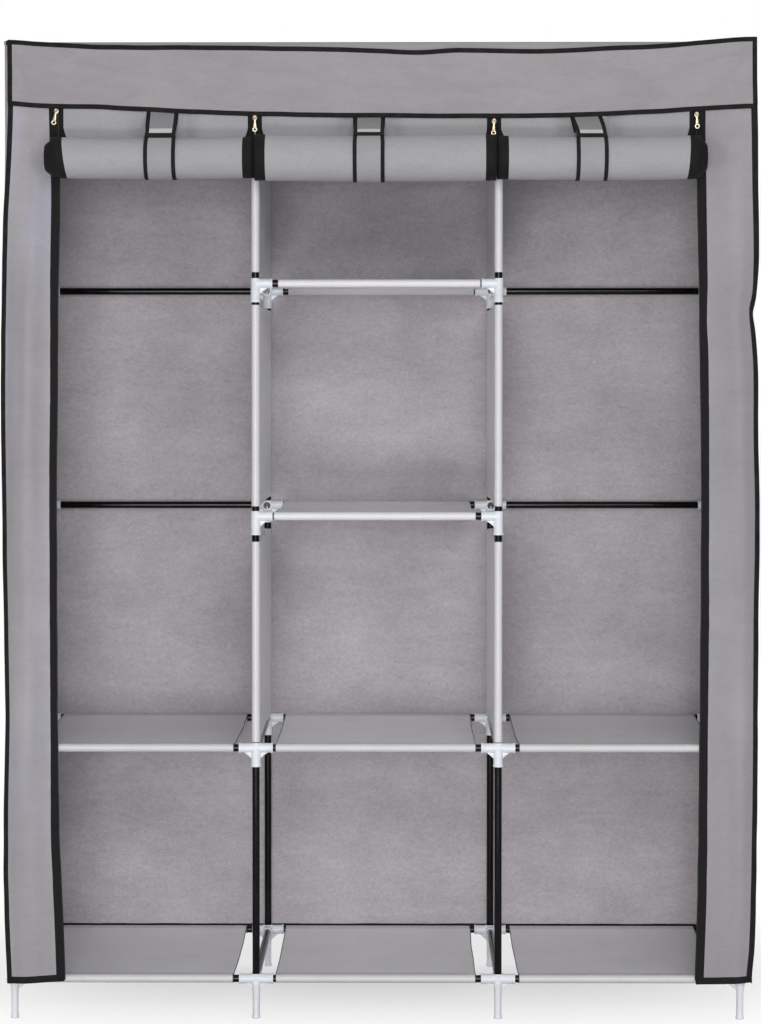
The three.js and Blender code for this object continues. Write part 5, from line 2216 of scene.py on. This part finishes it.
@dataclass
class ZipHead:
    """A zip's slider with its pull."""

    number: int
    height: float
    tilt: float = 0.0
    half_width: float = 0.0042
    half_height: float = 0.0055
    waist: float = 0.35
    thick: float = 0.0011
    plate_edge: float = 0.0003
    outline_steps: int = 24
    post: tuple[float, float, float] = (0.0024, 0.0030, 0.0058)
    ear: tuple[float, float, float] = (0.0011, 0.0048, 0.0046)
    ear_off: float = 0.00245
    pin: float = 0.0008
    pin_half: float = 0.0032
    pin_out: float = 0.0037
    pin_up: float = 0.0013
    pull: float = 0.0014
    eye: tuple[float, float] = (0.0030, 0.0013)
    loop: tuple[float, float] = (0.0045, 0.0021)
    loop_drop: float = 0.0215
    neck: tuple[tuple[float, float], ...] = ((0.0021, -0.0018), (0.0019, -0.008), (0.0031, -0.0182))

    def build(self) -> None:
        """Makes the slider and the pull, each on its own body."""
        x = PLAN.zips[self.number - 1]
        front = PLAN.front_plane - self.thick
        pin = Vector((x, front - self.pin_out, self.height + self.pin_up))
        shells = [
            self._plate(x, front - self.thick),
            self._plate(x, PLAN.front_plane + 0.0003),
            slab(Vector(self.post), Vector((x, PLAN.front_plane - 0.0004, self.height)), self.plate_edge),
        ]
        for side in (-1, 1):
            ear = Vector((x + side * self.ear_off, front - 0.0026, pin.z + 0.0002))
            shells.append(slab(Vector(self.ear), ear, 0.0005))
        shells.append(rod(pin - X * self.pin_half, pin + X * self.pin_half, self.pin, 16, 0.0002))
        slider = f"zip_slider_{self.number}"
        put(f"{slider}_metal", joined(shells), [BRASS], slider, [slider])
        self._pull(pin)

    def _plate(self, x: float, y: float) -> Mesh:
        """One of the slider's two plates, an oval that narrows below.

        Args:
            x: the zip's place.
            y: where the plate's front face lies.

        Returns:
            The closed plate.
        """
        outline = []
        for number in range(self.outline_steps):
            angle = 2 * pi * number / self.outline_steps
            wide, tall = self.half_width * cos(angle), self.half_height * sin(angle)
            if tall < 0:
                wide *= 1 - self.waist * (tall / self.half_height) ** 2
            outline.append(Vector((x + wide, y, self.height + tall)))
        return plate(outline, Y * self.thick, self.plate_edge)

    def _pull(self, pin: Vector) -> None:
        """The pull: an eye on the pin, a waisted neck, and a round end with a hole.

        Args:
            pin: the middle of the pin.
        """
        name = f"zip_pull_{self.number}"
        front = pin - Y * (self.pull / 2)
        right = [front + X * across + Z * down for across, down in self.neck]
        left = [front - X * across + Z * down for across, down in reversed(self.neck)]
        mesh = joined([
            ring(front, *self.eye, Y * self.pull),
            ring(front - Z * self.loop_drop, *self.loop, Y * self.pull),
            plate(right + left, Y * self.pull, self.plate_edge),
        ])
        turn = Matrix.Translation(front) @ Matrix.Rotation(self.tilt, 4, "Y") @ Matrix.Translation(-front)
        bmesh.ops.transform(mesh, matrix=turn, verts=mesh.verts[:])
        put(f"{name}_metal", mesh, [BRASS], name, [name])


@dataclass
class Fastenings:
    """The three doors, their straps, and the four zips."""

    strap_slants: tuple[float, ...] = (0.0, 0.0, -0.009)
    slider_heights: tuple[float, ...] = (1.5900, 1.5780, 1.5720, 1.5830)
    pull_tilts: tuple[float, ...] = (0.20, 0.0, 0.04, -0.05)
    coil: float = 0.0022
    coil_overhang: float = 0.0011
    coil_span: tuple[float, float] = (0.070, 1.700)
    coil_stations: int = 200

    def build(self) -> None:
        """Makes them in order."""
        doors = (
            RolledDoor(0, 0.0365, (-0.5575, -0.2130), 0.0122, (0.006, 0.0)),
            RolledDoor(1, 0.0415, (-0.2105, 0.2055), -0.0091),
            RolledDoor(2, 0.0390, (0.2080, 0.5560), -0.0096, (0.0, 0.003)),
        )
        for door, slant in zip(doors, self.strap_slants):
            door.build()
            DoorStrap(door, slant).build()
        for number, (height, tilt) in enumerate(zip(self.slider_heights, self.pull_tilts), 1):
            ZipHead(number, height, tilt).build()
        self._coils()

    def _coils(self) -> None:
        """The nylon coil along each flap's zip edge."""
        for side, name, trim in ((-1, "left", LEFT_TRIM), (1, "right", RIGHT_TRIM)):
            stations = []
            for number in range(self.coil_stations):
                z = between(*self.coil_span, number / (self.coil_stations - 1))
                point = Vector((trim.at(z) - side * 0.0006, PLAN.front_plane - 0.0004, z))
                stations.append((point, X * side, -Y))
            mesh = Ribbon(self.coil, self.coil, self.coil_overhang).along(stations)
            put(f"zip_coil_{name}", mesh, [COIL], "frame")


# ---- studio


@dataclass(frozen=True)
class Lamp:
    """A large soft lamp: where it stands, where it points, its width and height, its watts."""

    name: str
    place: tuple[float, float, float]
    aim: tuple[float, float, float]
    size: tuple[float, float]
    watts: float

    def hang(self) -> None:
        """Puts the lamp in the scene."""
        data = bpy.data.lights.new(self.name, "AREA")
        data.shape, data.energy = "RECTANGLE", self.watts
        data.size, data.size_y = self.size
        lamp = bpy.data.objects.new(self.name, data)
        lamp.location = self.place
        lamp.rotation_euler = (Vector(self.aim) - Vector(self.place)).to_track_quat("-Z", "Y").to_euler()
        bpy.context.scene.collection.objects.link(lamp)


LAMPS = (
    Lamp("key", (-0.3, -8.0, 1.4), (0.0, 0.0, 0.9), (2.0, 1.7), 154),
    Lamp("high", (0.9, -4.4, 2.6), (0.0, 0.0, 0.5), (2.2, 0.8), 36),
    Lamp("low", (-0.2, -3.2, 0.30), (0.0, 0.0, 0.9), (1.4, 0.4), 22),
    Lamp("back", (0.0, 3.2, 2.0), (0.0, 0.3, 0.9), (2.4, 2.0), 38),
    Lamp("left", (-3.3, 1.3, 1.6), (-0.6, 0.1, 0.9), (1.6, 2.0), 33),
    Lamp("right", (3.3, 1.3, 1.6), (0.6, 0.1, 0.9), (1.6, 2.0), 33),
    Lamp("top", (0.0, -0.2, 4.4), (0.0, 0.0, 0.0), (2.6, 1.8), 12),
)


@dataclass
class Studio:
    """The floor, the soft lights and the camera at the photograph's angle."""

    camera_place: tuple[float, float, float] = (0.042, PLAN.front - 4.780, 1.124)
    pitch: float = 90 - 1.5
    yaw: float = 0.43
    focal_pixels: float = 2733
    picture_pixels: float = 1024
    shift_pixels: float = -61.4
    sensor: float = 36.0
    surround: float = 0.345
    floor_half: float = 30.0

    def build(self) -> None:
        """Sets the stage."""
        self._camera()
        self._world()
        self._floor()
        for lamp in LAMPS:
            lamp.hang()
        bpy.context.scene.view_settings.view_transform = "Standard"

    def _camera(self) -> None:
        """The camera, level but for a slight downward pitch, shifted only for the framing."""
        data = bpy.data.cameras.new("camera")
        data.lens = self.focal_pixels / self.picture_pixels * self.sensor
        data.sensor_width, data.sensor_fit = self.sensor, "AUTO"
        data.shift_y = self.shift_pixels / self.picture_pixels
        data.clip_end = 60
        camera = bpy.data.objects.new("camera", data)
        camera.location = self.camera_place
        camera.rotation_euler = (radians(self.pitch), 0, radians(self.yaw))
        bpy.context.scene.collection.objects.link(camera)
        bpy.context.scene.camera = camera

    def _world(self) -> None:
        """A soft white surround, plain white where the camera sees it."""
        world = bpy.data.worlds.new("surround")
        nodes = Nodes(world)
        path = nodes.add("ShaderNodeLightPath", {})
        seen = nodes.math("MAXIMUM", (path, "Is Camera Ray"), (path, "Is Transmission Ray"))
        strength = nodes.ranged(seen, 0.0, 1.0, self.surround, 1.0)
        light = nodes.add("ShaderNodeBackground", {"Color": (*WHITE, 1), "Strength": strength})
        nodes.add("ShaderNodeOutputWorld", {"Surface": (light, "Background")})
        bpy.context.scene.world = world

    def _floor(self) -> None:
        """A wide pale floor."""
        mesh = bmesh.new()
        bmesh.ops.create_grid(mesh, x_segments=8, y_segments=8, size=self.floor_half)
        data = bpy.data.meshes.new("floor")
        mesh.to_mesh(data)
        mesh.free()
        data.materials.append(PAPER.material())
        floor = bpy.data.objects.new("floor", data)
        bpy.context.scene.collection.objects.link(floor)


def main() -> None:
    """Builds the wardrobe's sub-assemblies in order."""
    logging.basicConfig(level=logging.INFO, format="%(name)s %(message)s")
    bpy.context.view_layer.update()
    Studio().build()
    SteelFrame().build()
    SleevedPanels().build()
    Cover().build()
    Fastenings().build()


if __name__ == "__main__":
    main()
